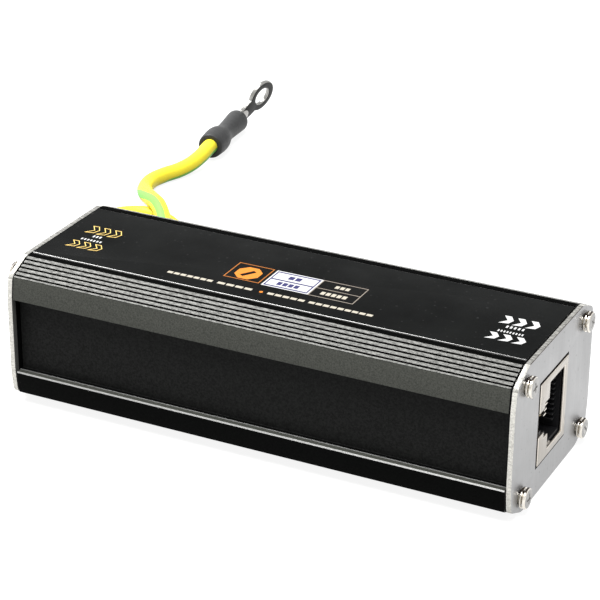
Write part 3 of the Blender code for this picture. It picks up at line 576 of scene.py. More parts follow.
def raised(loops, level, depth, axis="X"):
    """A new closed solid of flat loops, with the inner ones as holes."""
    bm = bmesh.new()
    for loop in loops:
        fresh_loop(bm, loop, axis, level)
    raise_flat(bm, (depth, 0, 0) if axis == "X" else (0, 0, depth))
    return bm


def grow_edges(bm, edges, matrix):
    """Extrudes edges and moves them. Returns their new corners and edges."""
    grown = bmesh.ops.extrude_edge_only(bm, edges=edges)["geom"]
    verts = verts_in(grown)
    bmesh.ops.transform(bm, matrix=matrix, verts=verts)
    return verts, [item for item in grown if isinstance(item, bmesh.types.BMEdge)
                   and all(v in verts for v in item.verts)]


def add_box(bm, middle, size):
    """A box about its middle."""
    made = bmesh.ops.create_cube(bm, size=1.0)
    bmesh.ops.transform(bm, matrix=Matrix.Translation(middle) @ Matrix.Diagonal((*size, 1.0)),
                        verts=made["verts"])


def add_part(bm, part):
    """Moves one bmesh's shape into another."""
    scrap = bpy.data.meshes.new("part")
    part.to_mesh(scrap)
    part.free()
    bm.from_mesh(scrap)
    bpy.data.meshes.remove(scrap)


def rim_edges(bm, axis=0):
    """Edges between a flat face across the axis and a side wall."""
    chosen = []
    for edge in bm.edges:
        if len(edge.link_faces) == 2:
            flat = [abs(face.normal[axis]) > 0.9 for face in edge.link_faces]
            if flat[0] != flat[1]:
                chosen.append(edge)
    return chosen


def spun(profile, steps):
    """Turns a profile of radius and height pairs about the Z axis into a closed shape."""
    bm = bmesh.new()
    verts = [bm.verts.new((radius, 0.0, height)) for radius, height in profile]
    edges = [bm.edges.new(pair) for pair in zip(verts, verts[1:])]
    bmesh.ops.spin(bm, geom=verts + edges, cent=(0, 0, 0), axis=(0, 0, 1), dvec=(0, 0, 0), angle=2 * math.pi,
                   steps=steps, use_merge=True, use_normal_flip=False, use_duplicate=False)
    bmesh.ops.remove_doubles(bm, verts=bm.verts[:], dist=0.000002)
    tidy_normals(bm)
    return bm


def new_piece(bm, name, finishes, replaced=(), place=None, angle=35.0):
    """Turns a bmesh into a piece that rides on the body, with its place in its mesh."""
    if place is not None:
        bmesh.ops.transform(bm, matrix=place, verts=bm.verts[:])
        if place.determinant() < 0:
            bmesh.ops.reverse_faces(bm, faces=bm.faces[:])
    mesh = bpy.data.meshes.new(name)
    bm.to_mesh(mesh)
    bm.free()
    for item in finishes:
        mesh.materials.append(FINISHES[item])
    mesh.shade_smooth()
    mesh.set_sharp_from_angle(angle=math.radians(angle))
    piece = bpy.data.objects.new(name, mesh)
    bpy.context.scene.collection.objects.link(piece)
    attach(piece, "root")
    if replaced:
        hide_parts(*replaced)
    return piece


def paint(bm, rule):
    """Gives each face the material slot that the rule returns for its middle and normal."""
    for face in bm.faces:
        face.material_index = rule(face.calc_center_median(), face.normal)


# Body


SEAT_GAP = 0.3 * MM
SAME = 0.001 * MM           # places closer than this are the same
BODY_FINISHES = ("band", "rib", "black", "channel", "lip", "inside", "flat", "soft_lip")


def shoulder_outline(sizes, grooves=5):
    """One upper shoulder, with its grooves, from the top flat out to the band's foot, as Y and Z pairs."""
    half = BODY_HIGH.y
    top = Vector((half - sizes.band_lean - sizes.shoulder_run, BODY_HIGH.z))
    foot = Vector((half - sizes.band_lean, BODY_HIGH.z - sizes.shoulder_drop))
    along = (foot - top).normalized()
    inward = Vector((along.y, -along.x))
    points = [top]
    for i in range(grooves):
        near = top + along * (sizes.first_groove + i * sizes.groove_pitch - sizes.groove_width / 2)
        far = near + along * sizes.groove_width
        points += [near, near + inward * sizes.groove_depth, far + inward * sizes.groove_depth, far]
    points.append(foot)
    return [(point.x, point.y) for point in points]


def flipped(points, across_y=False, across_z=False):
    """The points mirrored across the middle in Y, at the mid height, or both, still in one direction."""
    moved = [(-y if across_y else y, 2 * MID_HEIGHT - z if across_z else z) for y, z in points]
    return moved[::-1] if across_y != across_z else moved


def all_round(upper, lower):
    """A closed outline from its upper right quarter and the upper form of its lower one."""
    return (upper + flipped(lower, across_z=True) + flipped(lower, across_y=True, across_z=True)
            + flipped(upper, across_y=True))


def body_outline(sizes):
    """The extrusion's outer edge."""
    seat, seat_z = NAME_HIGH.y + SEAT_GAP, BODY_HIGH.z - sizes.seat_depth
    half = BODY_HIGH.y
    inner = half - sizes.channel_depth
    band_foot = BODY_HIGH.z - sizes.shoulder_drop - sizes.band_height
    line = half - sizes.ledge_width
    side = shoulder_outline(sizes) + [(half, band_foot)]
    stepped = side + [(line, band_foot), (line - sizes.ledge_line, band_foot - sizes.ledge_step),
                      (inner, band_foot - sizes.ledge_step)]
    return all_round([(seat, seat_z), (seat, BODY_HIGH.z)] + side + [(inner, band_foot)], stepped)


def screw_centres(fasteners):
    y, z = BODY_HIGH.y - fasteners.inset_y, MID_HEIGHT - fasteners.inset_z
    return [(side_y * y, MID_HEIGHT + side_z * z) for side_z in (1, -1) for side_y in (1, -1)]


def cavity_outline(sizes, fasteners):
    """The extrusion's inner edge: a box with a round boss in each corner."""
    wall_y = BODY_HIGH.y - sizes.channel_depth - sizes.wall
    roof = 2 * MID_HEIGHT - sizes.seat_depth - sizes.wall
    boss = sizes.boss_radius
    y, z = screw_centres(fasteners)[0]
    corner = [(wall_y, z - boss)]
    for i in range(7):
        angle = math.radians(270 - 15 * i)
        corner.append((y + boss * math.cos(angle), z + boss * math.sin(angle)))
    corner.append((y - boss, roof))
    upper = corner + flipped(corner, across_y=True)
    return upper + flipped(upper, across_z=True)


def body_finish(sizes):
    """The rule for the extrusion's faces, by their place in BODY_FINISHES."""
    half = BODY_HIGH.y
    floor_y = half - sizes.channel_depth
    shoulder_y = half - sizes.band_lean - sizes.shoulder_run
    band_top = BODY_HIGH.z - sizes.shoulder_drop
    band_foot = band_top - sizes.band_height
    slope = Vector((sizes.shoulder_drop, sizes.shoulder_run)).normalized()
    near, crest, below_grooves, lip_reach = 0.1 * MM, 0.12 * MM, 0.6 * MM, 0.4 * MM

    def rule(middle, normal):
        y, z = abs(middle.y), MID_HEIGHT + abs(middle.z - MID_HEIGHT)
        upper = middle.z > MID_HEIGHT
        up = normal.z if upper else -normal.z
        out = normal.y if middle.y > 0 else -normal.y
        height = (y - shoulder_y) * slope.x + (z - BODY_HIGH.z) * slope.y
        in_cavity = y < floor_y - near and z < BODY_HIGH.z - 10 * near and height < -below_grooves
        if abs(normal.x) > 0.9 or in_cavity:
            found = "inside"
        elif not upper and up < -0.3 and out > 0.3 and y > half - lip_reach:
            found = "lip"
        # The top flat beside the name plate takes a still darker copy of black, a painted shade
        elif y < shoulder_y + near / 2:
            found = "flat"
        elif z > band_top - near and y < half - sizes.band_lean + near / 2:
            # Crests take the painted highlight; the grooves' walls and floors take black as painted shade
            on_crest = out * slope.x + up * slope.y > 0.75 and height > -crest
            found = "rib" if on_crest else "black"
        # The upper bands keep their own colour; the lower bands, turned down, take black as painted shade
        elif y > floor_y + near and z > band_foot + near / 5:
            found = "band" if upper else "black"
        # The channel floor, darker than the bands partly as painted shade
        elif y < floor_y + near:
            found = "channel"
        # The channel's upper wall and the ledge's inner part take black as painted shade; the ledge's light
        # line and outer part keep their own tones
        elif upper or y < half - sizes.ledge_width - sizes.ledge_line:
            found = "black"
        else:
            found = "soft_lip" if y < half - sizes.ledge_width else "band"
        return BODY_FINISHES.index(found)

    return rule


class SURGE_OT_body(bpy.types.Operator):
    """Build the hollow extruded body with its ribs and side channels."""

    bl_idname = "surge.body"
    bl_label = "Extruded body"

    def execute(self, context):
        sizes, fasteners = context.scene.surge_body, context.scene.surge_fasteners
        bm = bmesh.new()
        verts = fresh_loop(bm, body_outline(sizes), level=BODY_LOW.x)
        self.soften(bm, sizes, verts)
        fresh_loop(bm, cavity_outline(sizes, fasteners), level=BODY_LOW.x)
        for centre in screw_centres(fasteners):
            round_loop(bm, centre, fasteners.hole_radius, 20, level=BODY_LOW.x)
        raise_flat(bm, (BODY_HIGH.x - BODY_LOW.x, 0, 0))
        paint(bm, body_finish(sizes))
        new_piece(bm, "body_extrusion", BODY_FINISHES, ("housing",), angle=18.0)
        return {"FINISHED"}

    def soften(self, bm, sizes, verts):
        """Chamfers the channels' lower lips, and rounds all corners but the seat's and the ledges'."""
        half, line = BODY_HIGH.y, BODY_HIGH.y - sizes.ledge_width
        lips, rounds = [], []
        for vert in verts:
            y, z = abs(vert.co.y), vert.co.z
            lower = sizes.band_height < z < MID_HEIGHT
            on_ledge = lower and line - sizes.ledge_line - SAME < y < line + SAME
            in_seat = abs(z - BODY_HIGH.z + sizes.seat_depth) < SAME and y < NAME_HIGH.y + 2 * SEAT_GAP
            if lower and abs(y - half) < SAME:
                lips.append(vert)
            elif not on_ledge and not in_seat:
                rounds.append(vert)
        soften_corners(bm, verts, (rounds, sizes.edge_round, 2), (lips, sizes.lip_width, 1))


# Name plate and its marks


def rectangle(low, high):
    return [low, (high[0], low[1]), high, (low[0], high[1])]


class SURGE_OT_name_plate(bpy.types.Operator):
    """Build the name plate with its bright long edges."""

    bl_idname = "surge.name_plate"
    bl_label = "Name plate"

    def execute(self, context):
        bm = raised([rectangle(NAME_LOW.xy, NAME_HIGH.xy)], NAME_LOW.z, NAME_HIGH.z - NAME_LOW.z, "Z")
        upper = [e for e in bm.edges if all(abs(v.co.z - NAME_HIGH.z) < SAME for v in e.verts)
                 and len({round(v.co.y, 6) for v in e.verts}) == 1 and len(e.link_faces) == 2]
        bevel(bm, upper, 0.13 * MM)
        paint(bm, lambda middle, normal: 0 if normal.z > 0.95 else 1)
        new_piece(bm, "name_plate_film", ("film", "film_edge"), ("name_plate",))
        return {"FINISHED"}


MARK_HEIGHT = 0.02 * MM


def flat_mark(bm, loops):
    """Adds one printed shape with holes to the bmesh, as a thin closed layer on the name plate. In mm."""
    placed = [[(x * MM, y * MM) for x, y in loop] for loop in loops]
    add_part(bm, raised(placed, NAME_HIGH.z - MARK_HEIGHT / 4, MARK_HEIGHT * 1.25, "Z"))


def oval(centre, half_x, half_y, count, start=0.0):
    """A polygon round a centre. The start is a share of one side."""
    turns = [2 * math.pi * (i + start) / count for i in range(count)]
    return [(centre[0] + half_x * math.cos(a), centre[1] + half_y * math.sin(a)) for a in turns]


def hollow_loop(loop, line):
    """The loop and a smaller one inside it, a line's width away."""
    count = len(loop)
    inner = []
    turning = sum(a[0] * b[1] - b[0] * a[1] for a, b in zip(loop, loop[1:] + loop[:1]))
    side = 1 if turning > 0 else -1
    for i in range(count):
        before, here, after = (Vector(loop[(i + k) % count]) for k in (-1, 0, 1))
        first = (here - before).normalized()
        second = (after - here).normalized()
        normal = (Vector((-(first.y + second.y), first.x + second.x)) * side).normalized()
        lean = max(normal.dot(Vector((-first.y, first.x)) * side), 0.35)
        inner.append(tuple(here + normal * (line / lean)))
    return [loop, inner]


def tick_loops(low, high, count, share):
    """A word's place as a row of plain upright ticks."""
    pitch = (high[0] - low[0]) / count
    return [rectangle((low[0] + i * pitch, low[1]), (low[0] + (i + share) * pitch, high[1]))
            for i in range(count)]


def inset(box, line):
    """A box's rectangle, a line's width further in."""
    (low_x, low_y), (high_x, high_y) = box
    return rectangle((low_x + line, low_y + line), (high_x - line, high_y - line))


# Printed boxes by their lower and upper corner, and the width of their lines, in millimetres
EMBLEM_BOX, EMBLEM_LINE = ((-12.6, -5.1), (-5.3, 1.7)), 0.20
FIELD_BOX, FIELD_LINE = ((-4.7, -5.35), (4.7, 1.6)), 0.28
CELL_BOX, CELL_LINE = ((4.72, -5.4), (13.75, 1.65)), 0.18
EMBLEM = oval((-8.95, -2.0), 2.6, 2.75, 8, 0.5)
EMBLEM_BAR = [(-10.2, -3.1), (-9.4, -3.6), (-7.7, -1.1), (-8.5, -0.6)]
DOT = oval((-3.18, -8.17), 0.36, 0.36, 12)
# Fields by their lower and upper side, number of ticks, and the ticks' reach. Cells by their sides
FIELDS = ((-4.65, -2.25, 4, 2.3), (-1.80, 0.9, 2, 1.4))
CELLS = ((-5.22, -1.99), (-1.81, 1.47))
TICK_HALF = 0.7
# Places of words: ink, lower and upper corner, number of ticks, and the ticks' share
WORDS = (
    ("cream", (7.9, -0.75), (11.0, 0.35), 3, 0.74),
    ("cream", (6.6, -4.2), (12.0, -3.0), 5, 0.74),
    ("cream", (-22.5, -8.5), (-12.9, -7.7), 7, 0.8),
    ("cream", (-12.1, -8.5), (-4.7, -7.7), 4, 0.8),
    ("cream", (-1.9, -8.5), (5.8, -7.7), 5, 0.8),
    ("cream", (6.4, -8.5), (19.2, -7.7), 9, 0.8),
    ("white", (-43.1, -0.85), (-41.0, 0.0), 3, 0.5),
    ("white", (-44.6, -2.65), (-39.9, -1.95), 7, 0.5),
    ("white", (41.5, -1.75), (45.2, -0.85), 5, 0.5),
    ("white", (40.7, -3.65), (45.7, -2.95), 9, 0.5),
)
# An arrow's corners as shares of its size, and rows of arrows: ink, first corner, step, width and height
CHEVRON = ((0.035, 0.975), (0.606, 1.0), (1.0, 0.543), (0.788, 0.106), (0.0, 0.0), (0.535, 0.466))
ARROWS = (
    ("white", (39.58, -0.37), 2.5, 2.26, 3.25),
    ("white", (39.58, -7.05), 2.5, 2.26, 2.75),
    ("amber", (-45.75, 0.55), 2.43, 2.40, 3.45),
    ("amber", (-45.75, -6.45), 2.43, 2.40, 3.0),
)
ARROW_LINE = 0.17


class SURGE_OT_marks(bpy.types.Operator):
    """Print the arrows, frames, colour fields and bars on the name plate."""

    bl_idname = "surge.marks"
    bl_label = "Printed marks"

    def execute(self, context):
        layers = {name: bmesh.new() for name in INKS}
        self.boxes(layers)
        for ink, low, high, count, share in WORDS:
            for loop in tick_loops(low, high, count, share):
                flat_mark(layers[ink], [loop])
        for ink, (x, y), step, width, height in ARROWS:
            for i in range(3):
                loop = [(x + i * step + u * width, y + v * height) for u, v in CHEVRON]
                flat_mark(layers[ink], [loop] if ink == "white" else hollow_loop(loop, ARROW_LINE))
        for ink, bm in layers.items():
            new_piece(bm, "marks_" + ink, (ink,))
        return {"FINISHED"}

    def boxes(self, layers):
        """The emblem in its box, the white and navy box of two fields, and the grey box of two cells."""
        flat_mark(layers["orange_line"], [rectangle(*EMBLEM_BOX), inset(EMBLEM_BOX, EMBLEM_LINE)])
        flat_mark(layers["orange"], [EMBLEM, EMBLEM_BAR])
        flat_mark(layers["orange"], [DOT])
        navy_box = inset(FIELD_BOX, FIELD_LINE)
        flat_mark(layers["white"], [rectangle(*FIELD_BOX), navy_box])
        half, fields = FIELD_BOX[1][0] - 2 * FIELD_LINE, []
        for low_y, high_y, count, reach in FIELDS:
            middle = (low_y + high_y) / 2
            words = tick_loops((-reach, middle - TICK_HALF), (reach, middle + TICK_HALF), count, 0.8)
            fields.append(rectangle((-half, low_y), (half, high_y)))
            flat_mark(layers["white"], [fields[-1]] + words)
            for word in words:
                flat_mark(layers["navy"], [word])
        flat_mark(layers["navy"], [navy_box] + fields)
        (left, _), (right, _) = CELL_BOX
        cells = [rectangle((left + CELL_LINE, low_y), (right - CELL_LINE, high_y))
                 for low_y, high_y in CELLS]
        flat_mark(layers["grey"], [rectangle(*CELL_BOX)] + cells)


# End plates


TOP_EDGE_INSET = 6 * MM
PLATE_FINISHES = ("plate", "cut_edge", "plate_back", "black", "cut_top", "tarnish", "cut_slope")


class SURGE_OT_end_plates(bpy.types.Operator):
    """Build the two satin end plates with their cut edges."""

    bl_idname = "surge.end_plates"
    bl_label = "End plates"

    def execute(self, context):
        sizes, fasteners = context.scene.surge_body, context.scene.surge_fasteners
        gap = Vector((0, sizes.opening_gap, sizes.opening_gap))
        margin = BODY_HIGH.y - sizes.ledge_width
        for end, side in ENDS:
            bm = bmesh.new()
            verts = fresh_loop(bm, self.outline(sizes), level=PLATE_LOW.x)
            soften_corners(bm, verts, (verts, sizes.plate_corner, 4))
            fresh_loop(bm, rectangle((SHIELD_LOW - gap).yz, (SHIELD_HIGH + gap).yz), level=PLATE_LOW.x)
            for centre in screw_centres(fasteners):
                round_loop(bm, centre, fasteners.hole_radius, 20, level=PLATE_LOW.x)
            if end == "in":
                hole = context.scene.surge_lead.grommet_hole
                round_loop(bm, GROMMET_CENTRE.yz, hole, 24, level=PLATE_LOW.x)
            raise_flat(bm, (PLATE_HIGH.x - PLATE_LOW.x, 0, 0))
            bevel(bm, rim_edges(bm), sizes.plate_round)
            # Splits the faces at the ledge's line, so that the middle of the back can take black painted
            # shade
            for y in (-margin, margin):
                cut = bm.verts[:] + bm.edges[:] + bm.faces[:]
                bmesh.ops.bisect_plane(bm, geom=cut, dist=1e-7, plane_co=(0, y, 0), plane_no=(0, 1, 0))
            paint(bm, self.finish_rule(margin, sizes.opening_gap + 0.2 * MM))
            place = Matrix.Diagonal((side, 1, 1, 1))
            new_piece(bm, "plate_" + end, PLATE_FINISHES, ("end_plate_" + end,), place)
        return {"FINISHED"}

    def outline(self, sizes):
        """An end plate's edge: the body's outline with plain shoulders and no channels."""
        half, band_top = BODY_HIGH.y, BODY_HIGH.z - sizes.shoulder_drop
        foot = half - sizes.band_lean
        upper = [(foot - sizes.shoulder_run, BODY_HIGH.z), (foot, band_top),
                 (half, band_top - sizes.band_height)]
        return all_round(upper, upper)

    def finish_rule(self, margin, gap):
        """The rule for a plate's faces, by their place in PLATE_FINISHES. The top edge has a rim of painted
        shade, the top and shoulder edges take darker copies of the cut edge as painted shade, and the back
        and the socket's opening take painted shade.
        """
        reach = SHIELD_HALF + Vector((0, gap, gap))
        top_reach = BODY_HIGH.y - TOP_EDGE_INSET

        def rule(middle, normal):
            from_socket = middle - SOCKET_CENTRE
            if normal.x > 0.8:
                found = "plate"
            # The back takes painted shade: a shaded copy of the plate at its sides and black in its middle
            elif normal.x < -0.8:
                found = "plate_back" if abs(middle.y) > margin else "black"
            # The walls of the socket's opening take black as painted shade
            elif abs(from_socket.y) < reach.y and abs(from_socket.z) < reach.z:
                found = "black"
            # The top edge and the shoulders take darker copies of the cut edge as painted shade, with
            # painted shade on the top edge's outer rounding
            elif normal.z > 0.3 and abs(middle.y) < top_reach:
                found = "tarnish" if normal.x > 0.3 else "cut_top"
            else:
                found = "cut_slope" if normal.z > 0.3 else "cut_edge"
            return PLATE_FINISHES.index(found)

        return rule


# Screws and washers


# A screw head's form: share of its radius, and distance below its top in millimetres
HEAD_FORM = ((0.0, 0.0), (0.45, 0.02), (0.72, 0.07), (0.88, 0.15), (0.97, 0.27), (1.0, 0.4))
HEAD_EDGE = 0.04 * MM
SHANK_POINT = 0.6 * MM
CROWN = 0.3 * MM            # faces above this height belong to a head's top


class SURGE_OT_fasteners(bpy.types.Operator):
    """Build the end screws and the split lock washers under them."""

    bl_idname = "surge.fasteners"
    bl_label = "Screws and washers"

    def execute(self, context):
        sizes = context.scene.surge_fasteners
        head_seat = HEAD_HIGH.x - sizes.head_height
        for end, side in ENDS:
            facing = turn(side * 90, "Y")
            for i, (y, z) in enumerate(screw_centres(sizes), 1):
                for make, x, degrees in ((self.screw, head_seat, 17 + 40 * i),
                                         (self.washer, WASHER_LOW.x, 200 + 65 * i)):
                    make(sizes, f"{end}_{i}", shift(side * x, y, z) @ facing @ turn(degrees, "Z"))
        return {"FINISHED"}

    def screw(self, sizes, number, place):
        """A pan-head screw. Its seat is at height 0 and its head points up."""
        radius, height = (HEAD_HIGH.y - HEAD_LOW.y) / 2, sizes.head_height
        shank, length = sizes.shank_radius, sizes.shank_length
        profile = [(radius * share, height - drop * MM) for share, drop in HEAD_FORM]
        profile += [(radius, HEAD_EDGE), (radius - HEAD_EDGE, 0.0), (shank, 0.0),
                    (shank, SHANK_POINT - length), (shank / 2, -length), (0.0, -length)]
        bm = spun(profile, 40)
        self.cut_recess(bm, sizes)
        facing, floor = place.to_3x3(), height - sizes.recess_depth
        # Head tops and the recess take the darker head face, a painted dark reflection; faces that turn up
        # in the world take painted shade
        paint(bm, lambda middle, normal: 1 if normal.z > 0.95
              or middle.z > floor and middle.xy.length < sizes.recess_length / 2
              else 2 if (facing @ normal).z > 0.80 else 0)
        new_piece(bm, "screw_" + number, ("nickel", "head_face", "tarnish"),
                  ("end_screw_" + number,), place, 40.0)

    def cut_recess(self, bm, sizes):
        """Sinks a tapered cross into a head."""
        width, length = sizes.recess_width / 2, sizes.recess_length / 2
        for across, along in ((width, length), (length, width)):
            for axis, level in ((0, -along), (0, along), (1, -across), (1, across)):
                normal = Vector((1 - axis, axis, 0))
                upper = [f for f in bm.faces if f.calc_center_median().z > CROWN]
                cut = list({item for f in upper for item in (*f.verts, *f.edges)}) + upper
                bmesh.ops.bisect_plane(bm, geom=cut, dist=1e-7, plane_co=normal * level, plane_no=normal)
        inside = []
        for face in bm.faces:
            middle = face.calc_center_median()
            x, y = abs(middle.x), abs(middle.y)
            if middle.z > CROWN and (x < width and y < length or y < width and x < length):
                inside.append(face)
        sunk = verts_in(bmesh.ops.extrude_face_region(bm, geom=inside)["geom"])
        bmesh.ops.delete(bm, geom=inside, context="FACES_ONLY")
        bmesh.ops.translate(bm, vec=(0, 0, -sizes.recess_depth), verts=sunk)
        bmesh.ops.scale(bm, vec=(0.8, 0.8, 1.0), verts=sunk)
        tidy_normals(bm)

    def washer(self, sizes, number, place):
        """A split ring of square section that rises a little from one end to the other."""
        outer, steps = (WASHER_HIGH.y - WASHER_LOW.y) / 2, 36
        section = rectangle((sizes.hole_radius, 0.0), (outer, sizes.washer_section))
        bm = bmesh.new()
        verts = [bm.verts.new((radius, 0.0, height)) for radius, height in section]
        bm.faces.new(verts)
        bevel(bm, verts, 0.05 * MM, 2, "VERTICES")
        bmesh.ops.spin(bm, geom=bm.faces[:] + bm.verts[:] + bm.edges[:], cent=(0, 0, 0), axis=(0, 0, 1),
                       dvec=(0, 0, sizes.washer_rise / steps), angle=2 * math.pi - sizes.washer_slit / outer,
                       steps=steps, use_merge=False, use_normal_flip=False, use_duplicate=False)
        tidy_normals(bm)
        facing = place.to_3x3()
        # Faces that turn up in the world take the painted shade
        paint(bm, lambda middle, normal: 1 if (facing @ normal).z > 0.80 else 0)
        new_piece(bm, "washer_" + number, ("nickel", "tarnish"), ("lock_washer_" + number,),
                  place, 40.0)


# Sockets


# Places are in millimetres from the mouth's rim, at the socket's middle. The tab's are from the mouth's end
COMB_WALL = Vector((3.0, 1.1, 0.3)) * MM
COMB_RISE = 0.82 * MM       # from the mouth's contact side to the walls' middle
TOOTH = Vector((0.5, 1.2, 0.26)) * MM
TEETH = ((0.1, -3.9, 3.1), (0.1, -4.2, 2.15), (0.1, -4.4, 1.3))
TONGUE_PATH = ((0.0, -3.1), (-0.8, -2.5), (-2.4, -2.2), (-4.2, -2.4))
TONGUE_WIDTH = 1.3 * MM
TONGUES = (-5.65, 4.35)
TAB = ((0.0, -0.9, 0.0), (0.0, 0.6, 0.0), (-1.1, 0.6, 0.7), (-1.1, -0.9, 0.7))


class SURGE_OT_sockets(bpy.types.Operator):
    """Build the folded socket shields, their spring fingers and the contact combs."""

    bl_idname = "surge.sockets"
    bl_label = "Network sockets"

    def execute(self, context):
        centre = shift(z=SOCKET_CENTRE.z)
        for end, side in ENDS:
            place = centre @ turn(90 - side * 90, "Y") @ centre.inverted()
            for make in (self.shield, self.fingers, self.comb):
                make(context.scene.surge_sockets, end, place)
        return {"FINISHED"}

    def face_outline(self, sizes):
        """The shield's front: a frame that the latch slot opens at its latch side."""
        mouth, step, slot = sizes.mouth_half, sizes.step_half, sizes.slot_half
        front, rear, step_front = -sizes.mouth_front, sizes.mouth_rear, -sizes.step_front
        half_y, half_z = SHIELD_HALF.yz
        upper = [(rear, mouth), (front, mouth), (front, step), (step_front, step), (step_front, slot),
                 (-half_y, slot), (-half_y, half_z), (half_y, half_z)]
        lower = [(y, -z) for y, z in reversed(upper)]
        return [(SOCKET_CENTRE.y + y, SOCKET_CENTRE.z + z) for y, z in upper + lower]

    def shield(self, sizes, end, place):
        """One folded sheet: the mouth's face, four sides and a back."""
        thick = Vector((sizes.sheet, sizes.sheet))
        face_x = SHIELD_HIGH.x - sizes.sheet
        outer = rectangle(SHIELD_LOW.yz, SHIELD_HIGH.yz)
        inner = rectangle(SHIELD_LOW.yz + thick, SHIELD_HIGH.yz - thick)
        bm = raised([self.face_outline(sizes)], face_x, sizes.sheet)
        front = [e for e in rim_edges(bm) if all(v.co.x > SHIELD_HIGH.x - SAME for v in e.verts)]
        bevel(bm, front, sizes.face_round, 3)
        paint(bm, self.face_rule)
        # The shield's sides and back all take the painted shade
        for loops, depth in (((outer, inner), face_x - SHIELD_LOW.x), ((inner,), sizes.sheet)):
            part = raised(loops, SHIELD_LOW.x, depth)
            paint(part, lambda middle, normal: 2)
            add_part(bm, part)
        new_piece(bm, "shield_" + end, ("shield", "shield_edge", "tarnish"),
                  ("socket_shield_" + end,), place, 40.0)

    def face_rule(self, middle, normal):
        """The rule for the mouth's face: plain, a painted highlight on the rounding and mouth walls, painted
        shade on the outer walls.
        """
        if abs(normal.x) > 0.9:
            return 0
        off = middle - SOCKET_CENTRE
        outer = abs(off.y) > SHIELD_HALF.y - 0.05 * MM or abs(off.z) > SHIELD_HALF.z - 0.05 * MM
        return 2 if outer and abs(normal.x) <= 0.1 else 1

    def fingers(self, sizes, end, place):
        """Bent spring tongues behind the mouth's rim, a tab at its lower end and teeth at its latch side."""
        bm = bmesh.new()
        rim = Vector((SHIELD_HIGH.x - sizes.sheet, *SOCKET_CENTRE.yz))
        for z in TONGUES:
            verts = [bm.verts.new(rim + Vector((x, y, z)) * MM) for x, y in TONGUE_PATH]
            edges = [bm.edges.new(pair) for pair in zip(verts, verts[1:])]
            grow_edges(bm, edges, shift(z=TONGUE_WIDTH))
        low = rim - Vector((0, 0, sizes.mouth_half))
        bm.faces.new([bm.verts.new(low + Vector(point) * MM) for point in TAB])
        bmesh.ops.solidify(bm, geom=bm.faces[:], thickness=sizes.spring_sheet)
        for point in TEETH:
            add_box(bm, rim + Vector(point) * MM, TOOTH)
        tidy_normals(bm)
        # Tongues, tab and teeth all take the painted highlight of the shield's edges
        new_piece(bm, "shield_fingers_" + end, ("shield_edge",), (), place, 40.0)

    def comb(self, sizes, end, place):
        """The insert's comb: thin walls between the contacts, near the mouth."""
        bm = bmesh.new()
        y = SOCKET_CENTRE.y + sizes.mouth_rear - COMB_RISE
        for i in range(9):
            z = SOCKET_CENTRE.z + (i - 4) * sizes.comb_pitch
            add_box(bm, (SHIELD_HIGH.x - COMB_WALL.x, y, z), COMB_WALL)
        bevel(bm, bm.edges[:], 0.06 * MM)
        new_piece(bm, "contact_comb_" + end, ("moulding",), (), place, 40.0)


# Earth lead, sleeve, terminal and grommet


# The stripe's middle along the lead: share of the length, and turns round the wire from its top
STRIPE_TURNS = ((0.0, -0.10), (0.20, -0.25), (0.33, -0.31), (0.55, -0.62), (0.70, -0.97), (0.75, -0.94),
                (0.79, -0.87), (0.83, -0.78), (0.86, -0.60), (0.90, -0.40), (0.97, -0.345), (1.0, -0.34))
# The sleeve's outer form and its flared mouth: share of its length, and radius in millimetres
SLEEVE_FORM = ((0.0, 2.75), (0.008, 2.93), (0.025, 3.03), (0.09, 3.14), (0.20, 3.25), (0.26, 3.24),
               (0.32, 3.10), (0.375, 2.84), (0.43, 2.56), (0.49, 2.38), (0.55, 2.34), (0.66, 2.42),
               (0.80, 2.58), (0.92, 2.72), (0.983, 2.77), (1.0, 2.68))
SLEEVE_MOUTH = ((1.0, 2.36), (0.985, 2.24), (0.955, 2.02))
# How the barrel flattens past the bend: distance in millimetres, share of its width and of its height
BARREL_FORM = ((0.0, 1.03, 0.86), (1.1, 1.08, 0.58), (2.2, 1.12, 0.34), (3.2, 1.0, 0.2))
# The tongue's half outline before the ring: distance in millimetres, and share of its half width
TONGUE_FORM = ((0.6, 0.7), (1.6, 0.9), (2.9, 1.0))


def smooth_path(route, spacing=0.9 * MM, steps=24):
    """Points at an even spacing on a Catmull-Rom curve through the route."""
    guide = [route[0] * 2 - route[1]] + route + [route[-1] * 2 - route[-2]]
    fine = []
    for a, b, c, d in zip(guide, guide[1:], guide[2:], guide[3:]):
        for i in range(steps):
            t = i / steps
            fine.append((b * 2 + (c - a) * t + (a * 2 - b * 5 + c * 4 - d) * t * t
                         + (b * 3 - a - c * 3 + d) * t ** 3) / 2)
    fine.append(route[-1])
    travelled = [0.0]
    for before, after in zip(fine, fine[1:]):
        travelled.append(travelled[-1] + (after - before).length)
    count = round(travelled[-1] / spacing)
    path, at = [fine[0]], 0
    for i in range(1, count):
        goal = travelled[-1] * i / count
        while travelled[at + 1] < goal:
            at += 1
        share = (goal - travelled[at]) / (travelled[at + 1] - travelled[at])
        path.append(fine[at].lerp(fine[at + 1], share))
    path.append(fine[-1])
    return path


def path_frames(path):
    """A frame at each point of a path: X runs along it and Z stays as upright as it can."""
    frames = []
    for i, point in enumerate(path):
        along = (path[min(i + 1, len(path) - 1)] - path[max(i - 1, 0)]).normalized()
        side = Vector((0, 0, 1)).cross(along).normalized()
        axes = Matrix((along, side, along.cross(side))).transposed().to_4x4()
        frames.append(Matrix.Translation(point) @ axes)
    return frames


def stripe_turn(share):
    """Where the stripe's middle lies round the wire at a share of the lead's length."""
    for (before, start), (after, stop) in zip(STRIPE_TURNS, STRIPE_TURNS[1:]):
        if share <= after:
            break
    return start + (stop - start) * (share - before) / (after - before)


